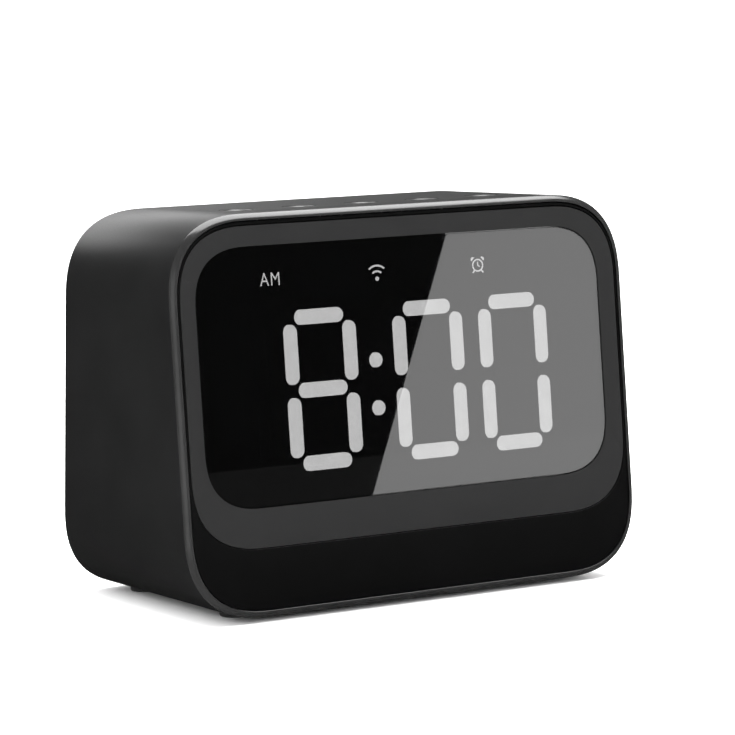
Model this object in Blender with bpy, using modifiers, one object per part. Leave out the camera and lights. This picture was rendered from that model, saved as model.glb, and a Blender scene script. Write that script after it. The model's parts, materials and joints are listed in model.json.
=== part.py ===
"""Alarm clock with a large digit display, five top buttons and a rear speaker.

Lengths are in metres, +Z is up and the display faces -Y.  The middle of the footprint
is at the world origin, and the rubber feet stand on z = 0.
"""

import math

import bmesh
import bpy
from mathutils import Matrix, Vector

MM = 0.001

# Case
WIDTH = 120.0 * MM
HEIGHT = 90.3 * MM
BASE_DEPTH = 69.4 * MM
FRONT_LEAN = math.radians(3.33)
BACK_LEAN = math.radians(6.3)
CORNER_RADIUS = 20.7 * MM
CORNER_POWER = 2.6
CORNER_STEPS = 7
WALL = 1.5 * MM
FRONT_ROUND = 1.2 * MM
BACK_ROUND = 2.8 * MM
FOOT_HEIGHT = 1.0 * MM
GAP = 0.3 * MM
FIT = 0.2 * MM

# Window, surround and display stack, measured back from the front plane
WINDOW_WIDTH = 107.2 * MM
WINDOW_HEIGHT = 58.7 * MM
WINDOW_RADIUS = 14.2 * MM
WINDOW_Z = 53.8 * MM
SURROUND_WIDTH = 115.4 * MM
SURROUND_HEIGHT = 72.2 * MM
SURROUND_RADIUS = 17.9 * MM
SURROUND_Z = 51.7 * MM
SURROUND_SLOPE = 0.9 * MM
SURROUND_BACK = 1.5 * MM
PANEL_FRONT = 0.2 * MM
PANEL_BACK = 4.6 * MM
PANEL_INSET = 1.7 * MM
LENS_LIP = 1.5 * MM
LENS_THICK = 0.8 * MM
MASK_THICK = 0.8 * MM
DIFFUSER_THICK = 0.8 * MM
REFLECTOR_THICK = 4.0 * MM
BOARD_THICK = 1.6 * MM

# Digits
DIGIT_MIDDLES = (-21.8 * MM, 6.7 * MM, 29.9 * MM)
LEADING_ONE_MIDDLE = -45.0 * MM
DIGIT_Z = 49.8 * MM
DIGIT_HALF_WIDTH = 7.65 * MM
DIGIT_HALF_HEIGHT = 16.57 * MM
STROKE = 3.4 * MM
LONG_STROKE = 13.6 * MM
SHORT_STROKE = 12.6 * MM
COLON_X = -7.6 * MM
COLON_RISE = 5.5 * MM
ICON_Z = 75.3 * MM
ICON_MIDDLES = (-34.9 * MM, -7.2 * MM, 20.0 * MM)
ICON_SIZE = 6.4 * MM

# Buttons
BUTTON_COUNT = 5
BUTTON_PITCH = 16.5 * MM
BUTTON_SETBACK = 18.0 * MM
BUTTON_RADIUS = 3.9 * MM
BUTTON_DISH = 0.9 * MM
BUTTON_BOARD_Z = 78.8 * MM
BUTTON_BOARD_THICK = 1.2 * MM
SWITCH_SIDE = 6.2 * MM
SWITCH_HEIGHT = 3.5 * MM
PLUNGER_RADIUS = 1.7 * MM

# Rear cover, ports and speaker
COVER_THICK = 2.0 * MM
COVER_INSET = 3.6 * MM
SPEAKER_Z = 53.0 * MM
SPEAKER_RADIUS = 21.5 * MM
GRILLE_RADIUS = 20.0 * MM
GRILLE_THICK = 0.8 * MM
GRILLE_PITCH = 4.3 * MM
GRILLE_HOLE = 1.35 * MM
SCREW_X = 49.8 * MM
SCREW_RISE = 35.0 * MM
MAIN_BOARD_Z = 9.0 * MM
PORT_Z = 12.6 * MM
USB_X = -24.0 * MM
AUX_X = 0.0
CARD_X = 24.0 * MM
CARD_SLOT_HEIGHT = 1.9 * MM

# Battery
CELL_RADIUS = 9.2 * MM
CELL_LENGTH = 65.0 * MM
CELL_Y = 31.0 * MM
CELL_Z = 24.2 * MM

LENS_FACE = SURROUND_SLOPE + FIT
LENS_FRONT = SURROUND_BACK + GAP
MASK_FRONT = LENS_FRONT + LENS_THICK + FIT
DIFFUSER_FRONT = MASK_FRONT + MASK_THICK + FIT
REFLECTOR_FRONT = PANEL_BACK + FIT
DISPLAY_BOARD_FRONT = REFLECTOR_FRONT + REFLECTOR_THICK + GAP
BUTTON_Y = HEIGHT * math.tan(FRONT_LEAN) + BUTTON_SETBACK
COVER_HEIGHT = HEIGHT / math.cos(BACK_LEAN)
FRONT_HEIGHT = HEIGHT / math.cos(FRONT_LEAN)

for old in list(bpy.data.objects):
    bpy.data.objects.remove(old, do_unlink=True)

parts = bpy.data.collections.new("alarm_clock")
cutters = bpy.data.collections.new("alarm_clock_cutters")
bpy.context.scene.collection.children.link(parts)
bpy.context.scene.collection.children.link(cutters)


def material(name, colour, roughness, metallic=0.0):
    made = bpy.data.materials.new(name)
    made.use_nodes = True
    shader = made.node_tree.nodes["Principled BSDF"]
    shader.inputs["Base Color"].default_value = (*colour, 1.0)
    shader.inputs["Roughness"].default_value = roughness
    shader.inputs["Metallic"].default_value = metallic
    return made


def empty(name, location, tilt=0.0, parent=None):
    made = bpy.data.objects.new(name, None)
    made.empty_display_size = 0.01
    made.location = location
    made.rotation_euler = (tilt, 0.0, 0.0)
    made.parent = parent
    parts.objects.link(made)
    return made


def node(name, data, finish, parent, location=(0.0, 0.0, 0.0), rotation=(0.0, 0.0, 0.0), smooth=False):
    made = bpy.data.objects.new(name, data)
    made.location = location
    made.rotation_euler = rotation
    made.parent = parent
    parts.objects.link(made)
    data.materials.clear()
    data.materials.append(finish)
    if smooth:
        for face in data.polygons:
            face.use_smooth = True
    return made


def helper(made):
    """Moves an object to the cutters and keeps it out of every picture."""
    parts.objects.unlink(made)
    cutters.objects.link(made)
    made.hide_render = True
    made.display_type = "WIRE"
    return made


def mesh_from(name, fill):
    mesh = bpy.data.meshes.new(name)
    working = bmesh.new()
    fill(working)
    bmesh.ops.recalc_face_normals(working, faces=working.faces)
    working.to_mesh(mesh)
    working.free()
    return mesh


def boolean(body, tool, operation="DIFFERENCE"):
    step = body.modifiers.new(f"{operation.lower()} {tool.name}", "BOOLEAN")
    step.operation = operation
    step.solver = "EXACT"
    step.object = tool


def round_edges(body, width, segments=2, angle=35.0):
    step = body.modifiers.new("edge rounding", "BEVEL")
    step.width = width
    step.segments = segments
    step.limit_method = "ANGLE"
    step.angle_limit = math.radians(angle)


def outline(width, height, radius, middle_z=0.0, steps=CORNER_STEPS, power=CORNER_POWER):
    """Points (x, z) round a rectangle with full, squarish corners."""
    points = []
    for side_x, side_z, start in ((1, -1, -90), (1, 1, 0), (-1, 1, 90), (-1, -1, 180)):
        for step in range(steps + 1):
            angle = math.radians(start + 90.0 * step / steps)
            across = math.copysign(abs(math.cos(angle)) ** (2.0 / power), math.cos(angle))
            up = math.copysign(abs(math.sin(angle)) ** (2.0 / power), math.sin(angle))
            x = side_x * (width / 2 - radius) + radius * across
            z = middle_z + side_z * (height / 2 - radius) + radius * up
            points.append((x, z))
    return points


def frame_loft(rings):
    """Closed frame through a loop of matching rings of points."""

    def fill(working):
        loops = [[working.verts.new(point) for point in ring] for ring in rings]
        count = len(rings[0])
        for index, loop in enumerate(loops):
            following = loops[(index + 1) % len(loops)]
            for k in range(count):
                after = (k + 1) % count
                working.faces.new((loop[k], loop[after], following[after], following[k]))

    return fill


def plate_loft(rings):
    """Closed plate through a row of matching rings, with a face over each end."""

    def fill(working):
        loops = [[working.verts.new(point) for point in ring] for ring in rings]
        count = len(rings[0])
        for loop, following in zip(loops, loops[1:]):
            for k in range(count):
                after = (k + 1) % count
                working.faces.new((loop[k], loop[after], following[after], following[k]))
        working.faces.new(loops[0])
        working.faces.new(loops[-1])

    return fill


def at_depth(points, depth):
    return [(x, depth, z) for x, z in points]


def box(size, middle=(0.0, 0.0, 0.0)):
    def fill(working):
        grow = Matrix.Translation(middle) @ Matrix.Diagonal((*size, 1.0))
        bmesh.ops.create_cube(working, size=1.0, matrix=grow)

    return fill


def cylinder(radius, start, end, segments=24):
    """Closed cylinder between two points."""

    def fill(working):
        along = Vector(end) - Vector(start)
        turn = Vector((0.0, 0.0, 1.0)).rotation_difference(along).to_matrix().to_4x4()
        placing = Matrix.Translation((Vector(start) + Vector(end)) / 2) @ turn
        bmesh.ops.create_cone(
            working,
            cap_ends=True,
            segments=segments,
            radius1=radius,
            radius2=radius,
            depth=along.length,
            matrix=placing,
        )

    return fill


def several(*fills):
    def fill(working):
        for one in fills:
            one(working)

    return fill


def cutter(name, fill, parent, location=(0.0, 0.0, 0.0), rotation=(0.0, 0.0, 0.0)):
    made = node(name, mesh_from(name, fill), CUTTER_FINISH, parent, location, rotation)
    return helper(made)


def turned(name, profile, finish, parent, location=(0.0, 0.0, 0.0), steps=32):
    """Closed turned body.  The profile is a loop of (radius, height), outer side downwards."""
    touches_axis = any(radius == 0.0 for radius, _ in profile)
    mesh = bpy.data.meshes.new(name)
    edges = [(k, k + 1) for k in range(len(profile) - 1)]
    if not touches_axis:
        edges.append((len(profile) - 1, 0))
    mesh.from_pydata([(radius, 0.0, height) for radius, height in profile], edges, [])
    made = node(name, mesh, finish, parent, location)
    spin = made.modifiers.new("turning", "SCREW")
    spin.axis = "Z"
    spin.steps = steps
    spin.render_steps = steps
    spin.use_merge_vertices = True
    spin.merge_threshold = 0.00001
    spin.use_smooth_shade = True
    return made


def flat(name, outlines, thickness, finish, parent, location, rotation=(math.radians(90.0), 0.0, 0.0)):
    """Flat plate with holes from outlines in its own plane, centred on its thickness."""
    curve = bpy.data.curves.new(name, "CURVE")
    curve.dimensions = "2D"
    curve.fill_mode = "BOTH"
    curve.extrude = thickness / 2
    for points in outlines:
        spline = curve.splines.new("POLY")
        spline.points.add(len(points) - 1)
        for point, (across, up) in zip(spline.points, points):
            point.co = (across, up, 0.0, 1.0)
        spline.use_cyclic_u = True
    return node(name, curve, finish, parent, location, rotation)


def tube(name, points, radius, finish, parent):
    curve = bpy.data.curves.new(name, "CURVE")
    curve.dimensions = "3D"
    curve.bevel_depth = radius
    curve.bevel_resolution = 2
    curve.use_fill_caps = True
    spline = curve.splines.new("POLY")
    spline.points.add(len(points) - 1)
    for point, place in zip(spline.points, points):
        point.co = (*place, 1.0)
    return node(name, curve, finish, parent)


def rounded_route(points, radius, steps=4):
    """A route through the points with each inner corner turned in short straight pieces."""
    route = [Vector(points[0])]
    for before, corner, after in zip(points, points[1:], points[2:]):
        corner = Vector(corner)
        arriving = (Vector(before) - corner)
        leaving = (Vector(after) - corner)
        reach = min(radius, arriving.length * 0.45, leaving.length * 0.45)
        start = corner + arriving.normalized() * reach
        end = corner + leaving.normalized() * reach
        for step in range(steps + 1):
            share = step / steps
            first = start.lerp(corner, share)
            second = corner.lerp(end, share)
            route.append(first.lerp(second, share))
    route.append(Vector(points[-1]))
    return [tuple(place) for place in route]


def stadium(middle_x, middle_z, length, width, upright, steps=4):
    """Outline of a stroke with full round ends."""
    points = []
    reach = (length - width) / 2
    for side, start in ((1, -90.0), (-1, 90.0)):
        for step in range(steps + 1):
            angle = math.radians(start + 180.0 * step / steps)
            along = side * reach + width / 2 * math.cos(angle)
            across = width / 2 * math.sin(angle)
            if upright:
                points.append((middle_x - across, middle_z + along))
            else:
                points.append((middle_x + along, middle_z + across))
    return points


def strokes():
    """Every light opening of the display as (middle x, middle z, length, width, upright)."""
    found = []
    half_step = DIGIT_HALF_HEIGHT / 2
    for middle in DIGIT_MIDDLES:
        for level in (-1, 0, 1):
            found.append((middle, DIGIT_Z + level * DIGIT_HALF_HEIGHT, SHORT_STROKE, STROKE, False))
        for side in (-1, 1):
            for level in (-1, 1):
                x = middle + side * DIGIT_HALF_WIDTH
                found.append((x, DIGIT_Z + level * half_step, LONG_STROKE, STROKE, True))
    for level in (-1, 1):
        x = LEADING_ONE_MIDDLE + DIGIT_HALF_WIDTH
        found.append((x, DIGIT_Z + level * half_step, LONG_STROKE, STROKE, True))
        found.append((COLON_X, DIGIT_Z + level * COLON_RISE, STROKE, STROKE - 0.01 * MM, False))
    for middle in ICON_MIDDLES:
        found.append((middle, ICON_Z, ICON_SIZE, ICON_SIZE - 1.4 * MM, False))
    return found


CUTTER_FINISH = material("cutter", (0.5, 0.5, 0.5), 0.5)
SATIN_BLACK = material("case_satin_black", (0.035, 0.035, 0.036), 0.42)
PANEL_BLACK = material("panel_black", (0.01, 0.01, 0.011), 0.3)
SURROUND_GREY = material("surround_grey", (0.085, 0.085, 0.086), 0.5)
SMOKED = material("smoked_acrylic", (0.012, 0.012, 0.014), 0.05)
MASK_BLACK = material("mask_black", (0.008, 0.008, 0.008), 0.6)
MILKY = material("milky_diffuser", (0.9, 0.9, 0.9), 0.4)
REFLECTOR_WHITE = material("reflector_white", (0.85, 0.85, 0.83), 0.55)
BOARD_GREEN = material("board_green", (0.02, 0.12, 0.05), 0.45)
RUBBER = material("foot_rubber", (0.02, 0.02, 0.02), 0.85)
CONE_PAPER = material("cone_paper", (0.03, 0.03, 0.03), 0.9)
SPIDER_CLOTH = material("spider_cloth", (0.45, 0.25, 0.08), 0.95)
STEEL = material("zinc_steel", (0.55, 0.56, 0.58), 0.35, 1.0)
GRILLE_BLACK = material("grille_black", (0.02, 0.02, 0.02), 0.5, 0.6)
FERRITE = material("ferrite", (0.05, 0.05, 0.055), 0.7)
COPPER = material("coil_copper", (0.7, 0.32, 0.14), 0.4, 1.0)
SCREW_STEEL = material("screw_black_steel", (0.03, 0.03, 0.03), 0.4, 1.0)
SHIELD = material("shield_tin", (0.62, 0.62, 0.6), 0.4, 1.0)
CHIP_BLACK = material("chip_black", (0.015, 0.015, 0.015), 0.5)
CELL_WRAP = material("cell_wrap", (0.02, 0.18, 0.42), 0.35)
HOLDER_BLACK = material("holder_black", (0.02, 0.02, 0.02), 0.6)
RED_LEAD = material("lead_red", (0.5, 0.02, 0.02), 0.45)
BLACK_LEAD = material("lead_black", (0.015, 0.015, 0.015), 0.45)
RIBBON_WHITE = material("ribbon_white", (0.8, 0.8, 0.78), 0.5)
SWITCH_BLACK = material("switch_black", (0.02, 0.02, 0.02), 0.5)
BUTTON_BLACK = material("button_black", (0.03, 0.03, 0.031), 0.4)

case_axes = empty("case_axes", (0.0, -BASE_DEPTH / 2, FOOT_HEIGHT))
front_axes = empty("front_axes", (0.0, 0.0, 0.0), -FRONT_LEAN, case_axes)
rear_axes = empty("rear_axes", (0.0, BASE_DEPTH, 0.0), BACK_LEAN, case_axes)
speaker_axes = empty("speaker_axes", (0.0, 0.0, SPEAKER_Z), math.radians(-90.0), rear_axes)


# Case sleeve: one moulding, rounded at both rims, with a seat for the rear cover


def sleeve_ring(inset, depth, from_back):
    points = outline(WIDTH - 2 * inset, HEIGHT - 2 * inset, CORNER_RADIUS - inset, HEIGHT / 2)
    ring = []
    for x, z in points:
        plane = BASE_DEPTH - z * math.tan(BACK_LEAN) if from_back else z * math.tan(FRONT_LEAN)
        ring.append((x, plane + (-depth if from_back else depth), z))
    return ring


rings = [sleeve_ring(WALL, 0.15 * MM, False), sleeve_ring(FRONT_ROUND + 0.1 * MM, 0.0, False)]
for step in range(4):
    turn = math.radians(90.0 * step / 3)
    inset = FRONT_ROUND * (1 - math.sin(turn))
    rings.append(sleeve_ring(inset, FRONT_ROUND * (1 - math.cos(turn)), False))
for step in range(5):
    turn = math.radians(90.0 * step / 4)
    inset = BACK_ROUND * (1 - math.cos(turn))
    rings.append(sleeve_ring(inset, BACK_ROUND * (1 - math.sin(turn)), True))
rings.append(sleeve_ring(COVER_INSET - GAP, 0.0, True))
rings.append(sleeve_ring(COVER_INSET - GAP, COVER_THICK + 2 * GAP, True))
rings.append(sleeve_ring(COVER_INSET + 1.6 * MM, COVER_THICK + 2 * GAP, True))
rings.append(sleeve_ring(COVER_INSET + 1.6 * MM, COVER_THICK + 2 * GAP + 1.4 * MM, True))
rings.append(sleeve_ring(WALL, COVER_THICK + 2 * GAP + 4.5 * MM, True))
front_most = min(point[1] for ring in rings for point in ring)
rear_most = max(point[1] for ring in rings for point in ring)
case_axes.location.y = -(front_most + rear_most) / 2
sleeve_mesh = mesh_from("housing_sleeve", frame_loft(rings))
sleeve = node("housing_sleeve", sleeve_mesh, SATIN_BLACK, case_axes, smooth=True)

button_places = [
    (BUTTON_PITCH * (index - (BUTTON_COUNT - 1) / 2), BUTTON_Y) for index in range(BUTTON_COUNT)
]
hole_radius = BUTTON_RADIUS + FIT
hole_low = HEIGHT - 2 * WALL
hole_high = HEIGHT + WALL
button_holes = several(
    *[cylinder(hole_radius, (x, y, hole_low), (x, y, hole_high)) for x, y in button_places]
)
boolean(sleeve, cutter("button_holes", button_holes, case_axes))

foot_places = [(x, y) for x in (-42.0 * MM, 42.0 * MM) for y in (13.0 * MM, 59.0 * MM)]
foot_seats = several(
    *[cylinder(4.3 * MM, (x, y, -1.0 * MM), (x, y, 0.6 * MM)) for x, y in foot_places]
)
boolean(sleeve, cutter("foot_seats", foot_seats, case_axes))

post_places = [(x, y) for x in (-44.0 * MM, 44.0 * MM) for y in (25.0 * MM, 57.0 * MM)]
board_posts = several(
    *[cylinder(2.2 * MM, (x, y, WALL - 0.4 * MM), (x, y, MAIN_BOARD_Z - GAP), 14) for x, y in post_places]
)
boolean(sleeve, cutter("board_posts", board_posts, case_axes), "UNION")

hanger_places = [(x, BUTTON_Y) for x in (-1.5 * BUTTON_PITCH, 1.5 * BUTTON_PITCH)]
hanger_bottom = BUTTON_BOARD_Z + BUTTON_BOARD_THICK + GAP
hangers = several(
    *[cylinder(2.5 * MM, (x, y, hanger_bottom), (x, y, HEIGHT - WALL / 2), 14) for x, y in hanger_places]
)
boolean(sleeve, cutter("button_board_hangers", hangers, case_axes), "UNION")
bore_low = hanger_bottom - MM
bore_high = hanger_bottom + 5.0 * MM
hanger_bores = several(
    *[cylinder(1.2 * MM, (x, y, bore_low), (x, y, bore_high), 12) for x, y in hanger_places]
)
boolean(sleeve, cutter("hanger_bores", hanger_bores, case_axes))

boss_places = [
    (x, COVER_HEIGHT / 2 + rise) for x in (-SCREW_X, SCREW_X) for rise in (-SCREW_RISE, SCREW_RISE)
]
seat_depth = COVER_THICK + 2 * GAP
bosses = several(
    *[cylinder(3.7 * MM, (x, -14.0 * MM, z), (x, -seat_depth - 0.05 * MM, z), 16) for x, z in boss_places]
)
boolean(sleeve, cutter("cover_bosses", bosses, rear_axes), "UNION")
boss_bores = several(
    *[cylinder(1.5 * MM, (x, -12.0 * MM, z), (x, -1.0 * MM, z), 12) for x, z in boss_places]
)
boolean(sleeve, cutter("boss_bores", boss_bores, rear_axes))


# Front panel, surround and window

panel_outer = outline(
    WIDTH - 2 * PANEL_INSET,
    FRONT_HEIGHT - 2 * PANEL_INSET,
    CORNER_RADIUS - PANEL_INSET,
    FRONT_HEIGHT / 2,
)
back_inset = PANEL_INSET + 0.4 * MM
panel_outer_back = outline(
    WIDTH - 2 * back_inset, FRONT_HEIGHT - 2 * back_inset, CORNER_RADIUS - back_inset, FRONT_HEIGHT / 2
)
surround_outer = outline(SURROUND_WIDTH, SURROUND_HEIGHT, SURROUND_RADIUS, SURROUND_Z)
pocket = outline(
    SURROUND_WIDTH + 2 * FIT, SURROUND_HEIGHT + 2 * FIT, SURROUND_RADIUS + FIT, SURROUND_Z
)
window = outline(WINDOW_WIDTH, WINDOW_HEIGHT, WINDOW_RADIUS, WINDOW_Z)
lens_edge = outline(
    WINDOW_WIDTH + 2 * LENS_LIP, WINDOW_HEIGHT + 2 * LENS_LIP, WINDOW_RADIUS + LENS_LIP, WINDOW_Z
)
lens_face = outline(
    WINDOW_WIDTH - 2 * FIT, WINDOW_HEIGHT - 2 * FIT, WINDOW_RADIUS - FIT, WINDOW_Z
)
panel_opening = outline(
    WINDOW_WIDTH + 2 * (LENS_LIP + FIT),
    WINDOW_HEIGHT + 2 * (LENS_LIP + FIT),
    WINDOW_RADIUS + LENS_LIP + FIT,
    WINDOW_Z,
)
pocket_floor = SURROUND_BACK + FIT
panel_rings = [
    at_depth(panel_outer, PANEL_FRONT),
    at_depth(pocket, PANEL_FRONT),
    at_depth(pocket, pocket_floor),
    at_depth(panel_opening, pocket_floor),
    at_depth(panel_opening, PANEL_BACK),
    at_depth(panel_outer_back, PANEL_BACK),
]
panel_mesh = mesh_from("front_panel", frame_loft(panel_rings))
panel = node("front_panel", panel_mesh, PANEL_BLACK, front_axes)
display_pins = [(x, 17.5 * MM) for x in (-42.0 * MM, 42.0 * MM)]
pin_depth = DISPLAY_BOARD_FRONT - GAP
pins = several(
    *[cylinder(2.0 * MM, (x, PANEL_BACK - MM, z), (x, pin_depth, z), 14) for x, z in display_pins]
)
boolean(panel, cutter("display_pins", pins, front_axes), "UNION")

surround_rings = [
    at_depth(surround_outer, 0.2 * MM),
    at_depth(window, SURROUND_SLOPE),
    at_depth(window, SURROUND_BACK),
    at_depth(surround_outer, SURROUND_BACK),
]
surround_mesh = mesh_from("display_surround", frame_loft(surround_rings))
surround = node("display_surround", surround_mesh, SURROUND_GREY, front_axes)
round_edges(surround, 0.15 * MM, 1)

lens_rings = [
    at_depth(lens_face, LENS_FACE),
    at_depth(lens_face, LENS_FRONT),
    at_depth(lens_edge, LENS_FRONT),
    at_depth(lens_edge, LENS_FRONT + LENS_THICK),
]
node("display_lens", mesh_from("display_lens", plate_loft(lens_rings)), SMOKED, front_axes)

light_openings = strokes()
mask_outlines = [lens_edge]
for x, z, length, width, upright in light_openings:
    mask_outlines.append(stadium(x, z, length + 2 * FIT, width + 2 * FIT, upright))
flat(
    "segment_mask",
    mask_outlines,
    MASK_THICK,
    MASK_BLACK,
    front_axes,
    (0.0, MASK_FRONT + MASK_THICK / 2, 0.0),
)

diffuser_edge = outline(WINDOW_WIDTH, WINDOW_HEIGHT, WINDOW_RADIUS, WINDOW_Z)
diffuser_rings = [
    at_depth(diffuser_edge, DIFFUSER_FRONT),
    at_depth(diffuser_edge, DIFFUSER_FRONT + DIFFUSER_THICK),
]
diffuser_mesh = mesh_from("light_diffuser", plate_loft(diffuser_rings))
diffuser = node("light_diffuser", diffuser_mesh, MILKY, front_axes)
pad_front = MASK_FRONT + 0.05 * MM
pad_fills = []
for x, z, length, width, upright in light_openings:
    shape = stadium(x, z, length, width, upright)
    pad_fills.append(
        plate_loft([at_depth(shape, pad_front), at_depth(shape, DIFFUSER_FRONT + DIFFUSER_THICK / 2)])
    )
boolean(diffuser, cutter("diffuser_pads", several(*pad_fills), front_axes), "UNION")

reflector_outlines = [outline(92.0 * MM, 54.0 * MM, 3.0 * MM, WINDOW_Z, 3, 2.0)]
for x, z, length, width, upright in light_openings:
    reflector_outlines.append(stadium(x, z, length + 0.2 * MM, width + 0.2 * MM, upright, 2))
flat(
    "led_reflector",
    reflector_outlines,
    REFLECTOR_THICK,
    REFLECTOR_WHITE,
    front_axes,
    (0.0, REFLECTOR_FRONT + REFLECTOR_THICK / 2, 0.0),
)

board_edge = outline(102.0 * MM, 68.0 * MM, 12.0 * MM, 48.0 * MM, 4, 2.0)
board_rings = [
    at_depth(board_edge, DISPLAY_BOARD_FRONT),
    at_depth(board_edge, DISPLAY_BOARD_FRONT + BOARD_THICK),
]
display_board_mesh = mesh_from("display_board", plate_loft(board_rings))
display_board = node("display_board", display_board_mesh, BOARD_GREEN, front_axes)
light_chips = several(
    *[
        box((1.6 * MM, 1.4 * MM, 1.6 * MM), (x, DISPLAY_BOARD_FRONT, z))
        for x, z, length, width, upright in light_openings
    ]
)
boolean(display_board, cutter("light_chips", light_chips, front_axes), "UNION")


# Rear cover, grille and ports



def cover_ring(inset, depth):
    points = outline(
        WIDTH - 2 * inset, COVER_HEIGHT - 2 * inset, CORNER_RADIUS - inset, COVER_HEIGHT / 2
    )
    return at_depth(points, -depth)


cover_rings = [
    cover_ring(COVER_INSET + 0.5 * MM, GAP + COVER_THICK),
    cover_ring(COVER_INSET, GAP + 0.4 * MM),
    cover_ring(COVER_INSET + 0.4 * MM, GAP),
]
cover = node("rear_cover", mesh_from("rear_cover", plate_loft(cover_rings)), SATIN_BLACK, rear_axes)

grille_seat = several(
    cylinder(GRILLE_RADIUS + FIT, (0.0, -1.5 * MM, SPEAKER_Z), (0.0, 1.0 * MM, SPEAKER_Z), 48)
)
boolean(cover, cutter("grille_seat", grille_seat, rear_axes))
speaker_opening = cylinder(18.6 * MM, (0.0, -4.0 * MM, SPEAKER_Z), (0.0, 1.0 * MM, SPEAKER_Z), 48)
boolean(cover, cutter("speaker_opening", speaker_opening, rear_axes))



def height_on_cover(height):
    """Height along the leaning cover of a level line through the middle of its thickness."""
    middle_depth = GAP + COVER_THICK / 2
    return (height + middle_depth * math.sin(BACK_LEAN)) / math.cos(BACK_LEAN)


port_height = height_on_cover(PORT_Z)
card_height = height_on_cover(MAIN_BOARD_Z + BOARD_THICK + GAP + CARD_SLOT_HEIGHT / 2)
port_cuts = several(
    plate_loft(
        [
            at_depth(stadium(USB_X, port_height, 9.8 * MM, 4.1 * MM, False), -4.0 * MM),
            at_depth(stadium(USB_X, port_height, 9.8 * MM, 4.1 * MM, False), 1.0 * MM),
        ]
    ),
    cylinder(3.3 * MM, (AUX_X, -4.0 * MM, port_height), (AUX_X, 1.0 * MM, port_height)),
    box((13.0 * MM, 5.0 * MM, 2.8 * MM), (CARD_X, -1.5 * MM, card_height)),
)
boolean(cover, cutter("port_cuts", port_cuts, rear_axes))
screw_cuts = several(
    *[cylinder(1.6 * MM, (x, -4.0 * MM, z), (x, 1.0 * MM, z), 14) for x, z in boss_places]
)
boolean(cover, cutter("cover_screw_holes", screw_cuts, rear_axes))
head_cuts = several(
    *[cylinder(2.9 * MM, (x, -1.5 * MM, z), (x, 1.0 * MM, z), 20) for x, z in boss_places]
)
boolean(cover, cutter("cover_screw_seats", head_cuts, rear_axes))

circle_points = []
for step in range(48):
    angle = math.radians(360.0 * step / 48)
    circle_points.append((GRILLE_RADIUS * math.cos(angle), SPEAKER_Z + GRILLE_RADIUS * math.sin(angle)))
grille_outlines = [circle_points]
for row in range(-4, 5):
    for column in range(-4, 5):
        x = GRILLE_PITCH * (column + 0.5 * (row % 2))
        z = GRILLE_PITCH * row * math.sqrt(3.0) / 2
        if math.hypot(x, z) < GRILLE_RADIUS - 3.0 * MM:
            hole = []
            for step in range(6):
                angle = math.radians(60.0 * step + 30.0)
                across = x + GRILLE_HOLE * math.cos(angle)
                hole.append((across, SPEAKER_Z + z + GRILLE_HOLE * math.sin(angle)))
            grille_outlines.append(hole)
flat(
    "speaker_grille",
    grille_outlines,
    GRILLE_THICK,
    GRILLE_BLACK,
    rear_axes,
    (0.0, -GAP - GRILLE_THICK / 2, 0.0),
)

screw_profile = [
    (0.0, -0.6 * MM),
    (0.9 * MM, -0.6 * MM),
    (0.9 * MM, -0.1 * MM),
    (2.2 * MM, -0.1 * MM),
    (2.6 * MM, -0.4 * MM),
    (2.6 * MM, -0.9 * MM),
    (1.25 * MM, -0.9 * MM),
    (1.25 * MM, -8.4 * MM),
    (0.6 * MM, -9.2 * MM),
    (0.0, -9.2 * MM),
]
for index, (x, z) in enumerate(boss_places):
    screw_name = f"cover_screw_{index + 1}"
    cover_screw = turned(screw_name, screw_profile, SCREW_STEEL, rear_axes, (x, -GAP, z), 10)
    cover_screw.rotation_euler = (math.radians(-90.0), 0.0, 0.0)


# Speaker, seen along its own axis with +Z outwards

basket_profile = [
    (SPEAKER_RADIUS, -2.6 * MM),
    (SPEAKER_RADIUS, -3.8 * MM),
    (20.0 * MM, -3.8 * MM),
    (20.0 * MM, -5.2 * MM),
    (19.3 * MM, -5.8 * MM),
    (15.2 * MM, -11.4 * MM),
    (15.2 * MM, -12.2 * MM),
    (7.6 * MM, -12.2 * MM),
    (7.6 * MM, -11.6 * MM),
    (14.4 * MM, -11.6 * MM),
    (18.4 * MM, -5.8 * MM),
    (18.4 * MM, -5.0 * MM),
    (19.4 * MM, -5.0 * MM),
    (19.4 * MM, -2.6 * MM),
]
basket = turned("speaker_basket", basket_profile, STEEL, speaker_axes, steps=24)
basket_windows = []
for quarter in range(4):
    angle = math.radians(45.0 + 90.0 * quarter)
    middle = (15.6 * MM * math.cos(angle), 15.6 * MM * math.sin(angle), -8.2 * MM)
    turn = Matrix.Translation(middle) @ Matrix.Rotation(angle, 4, "Z")
    basket_windows.append((turn, (8.0 * MM, 12.0 * MM, 4.6 * MM)))


def window_boxes(working):
    for turn, size in basket_windows:
        bmesh.ops.create_cube(working, size=1.0, matrix=turn @ Matrix.Diagonal((*size, 1.0)))


boolean(basket, cutter("basket_windows", window_boxes, speaker_axes))

ROLL_RADIUS = 16.9 * MM
ROLL_HEIGHT = -4.5 * MM


def roll_arc(radius, steps=5):
    """Half circle of the rubber roll from its outer side over to its inner side."""
    arc = []
    for step in range(steps + 1):
        angle = math.radians(180.0 * step / steps)
        arc.append((ROLL_RADIUS + radius * math.cos(angle), ROLL_HEIGHT + radius * math.sin(angle)))
    return arc


roll_profile = [(19.1 * MM, -4.2 * MM), (19.1 * MM, -4.6 * MM)]
roll_profile.extend(roll_arc(1.1 * MM))
roll_profile.extend([(14.9 * MM, -4.6 * MM), (14.9 * MM, -4.2 * MM)])
roll_profile.extend(reversed(roll_arc(1.55 * MM)))
turned("speaker_surround", roll_profile, RUBBER, speaker_axes, steps=24)

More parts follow.
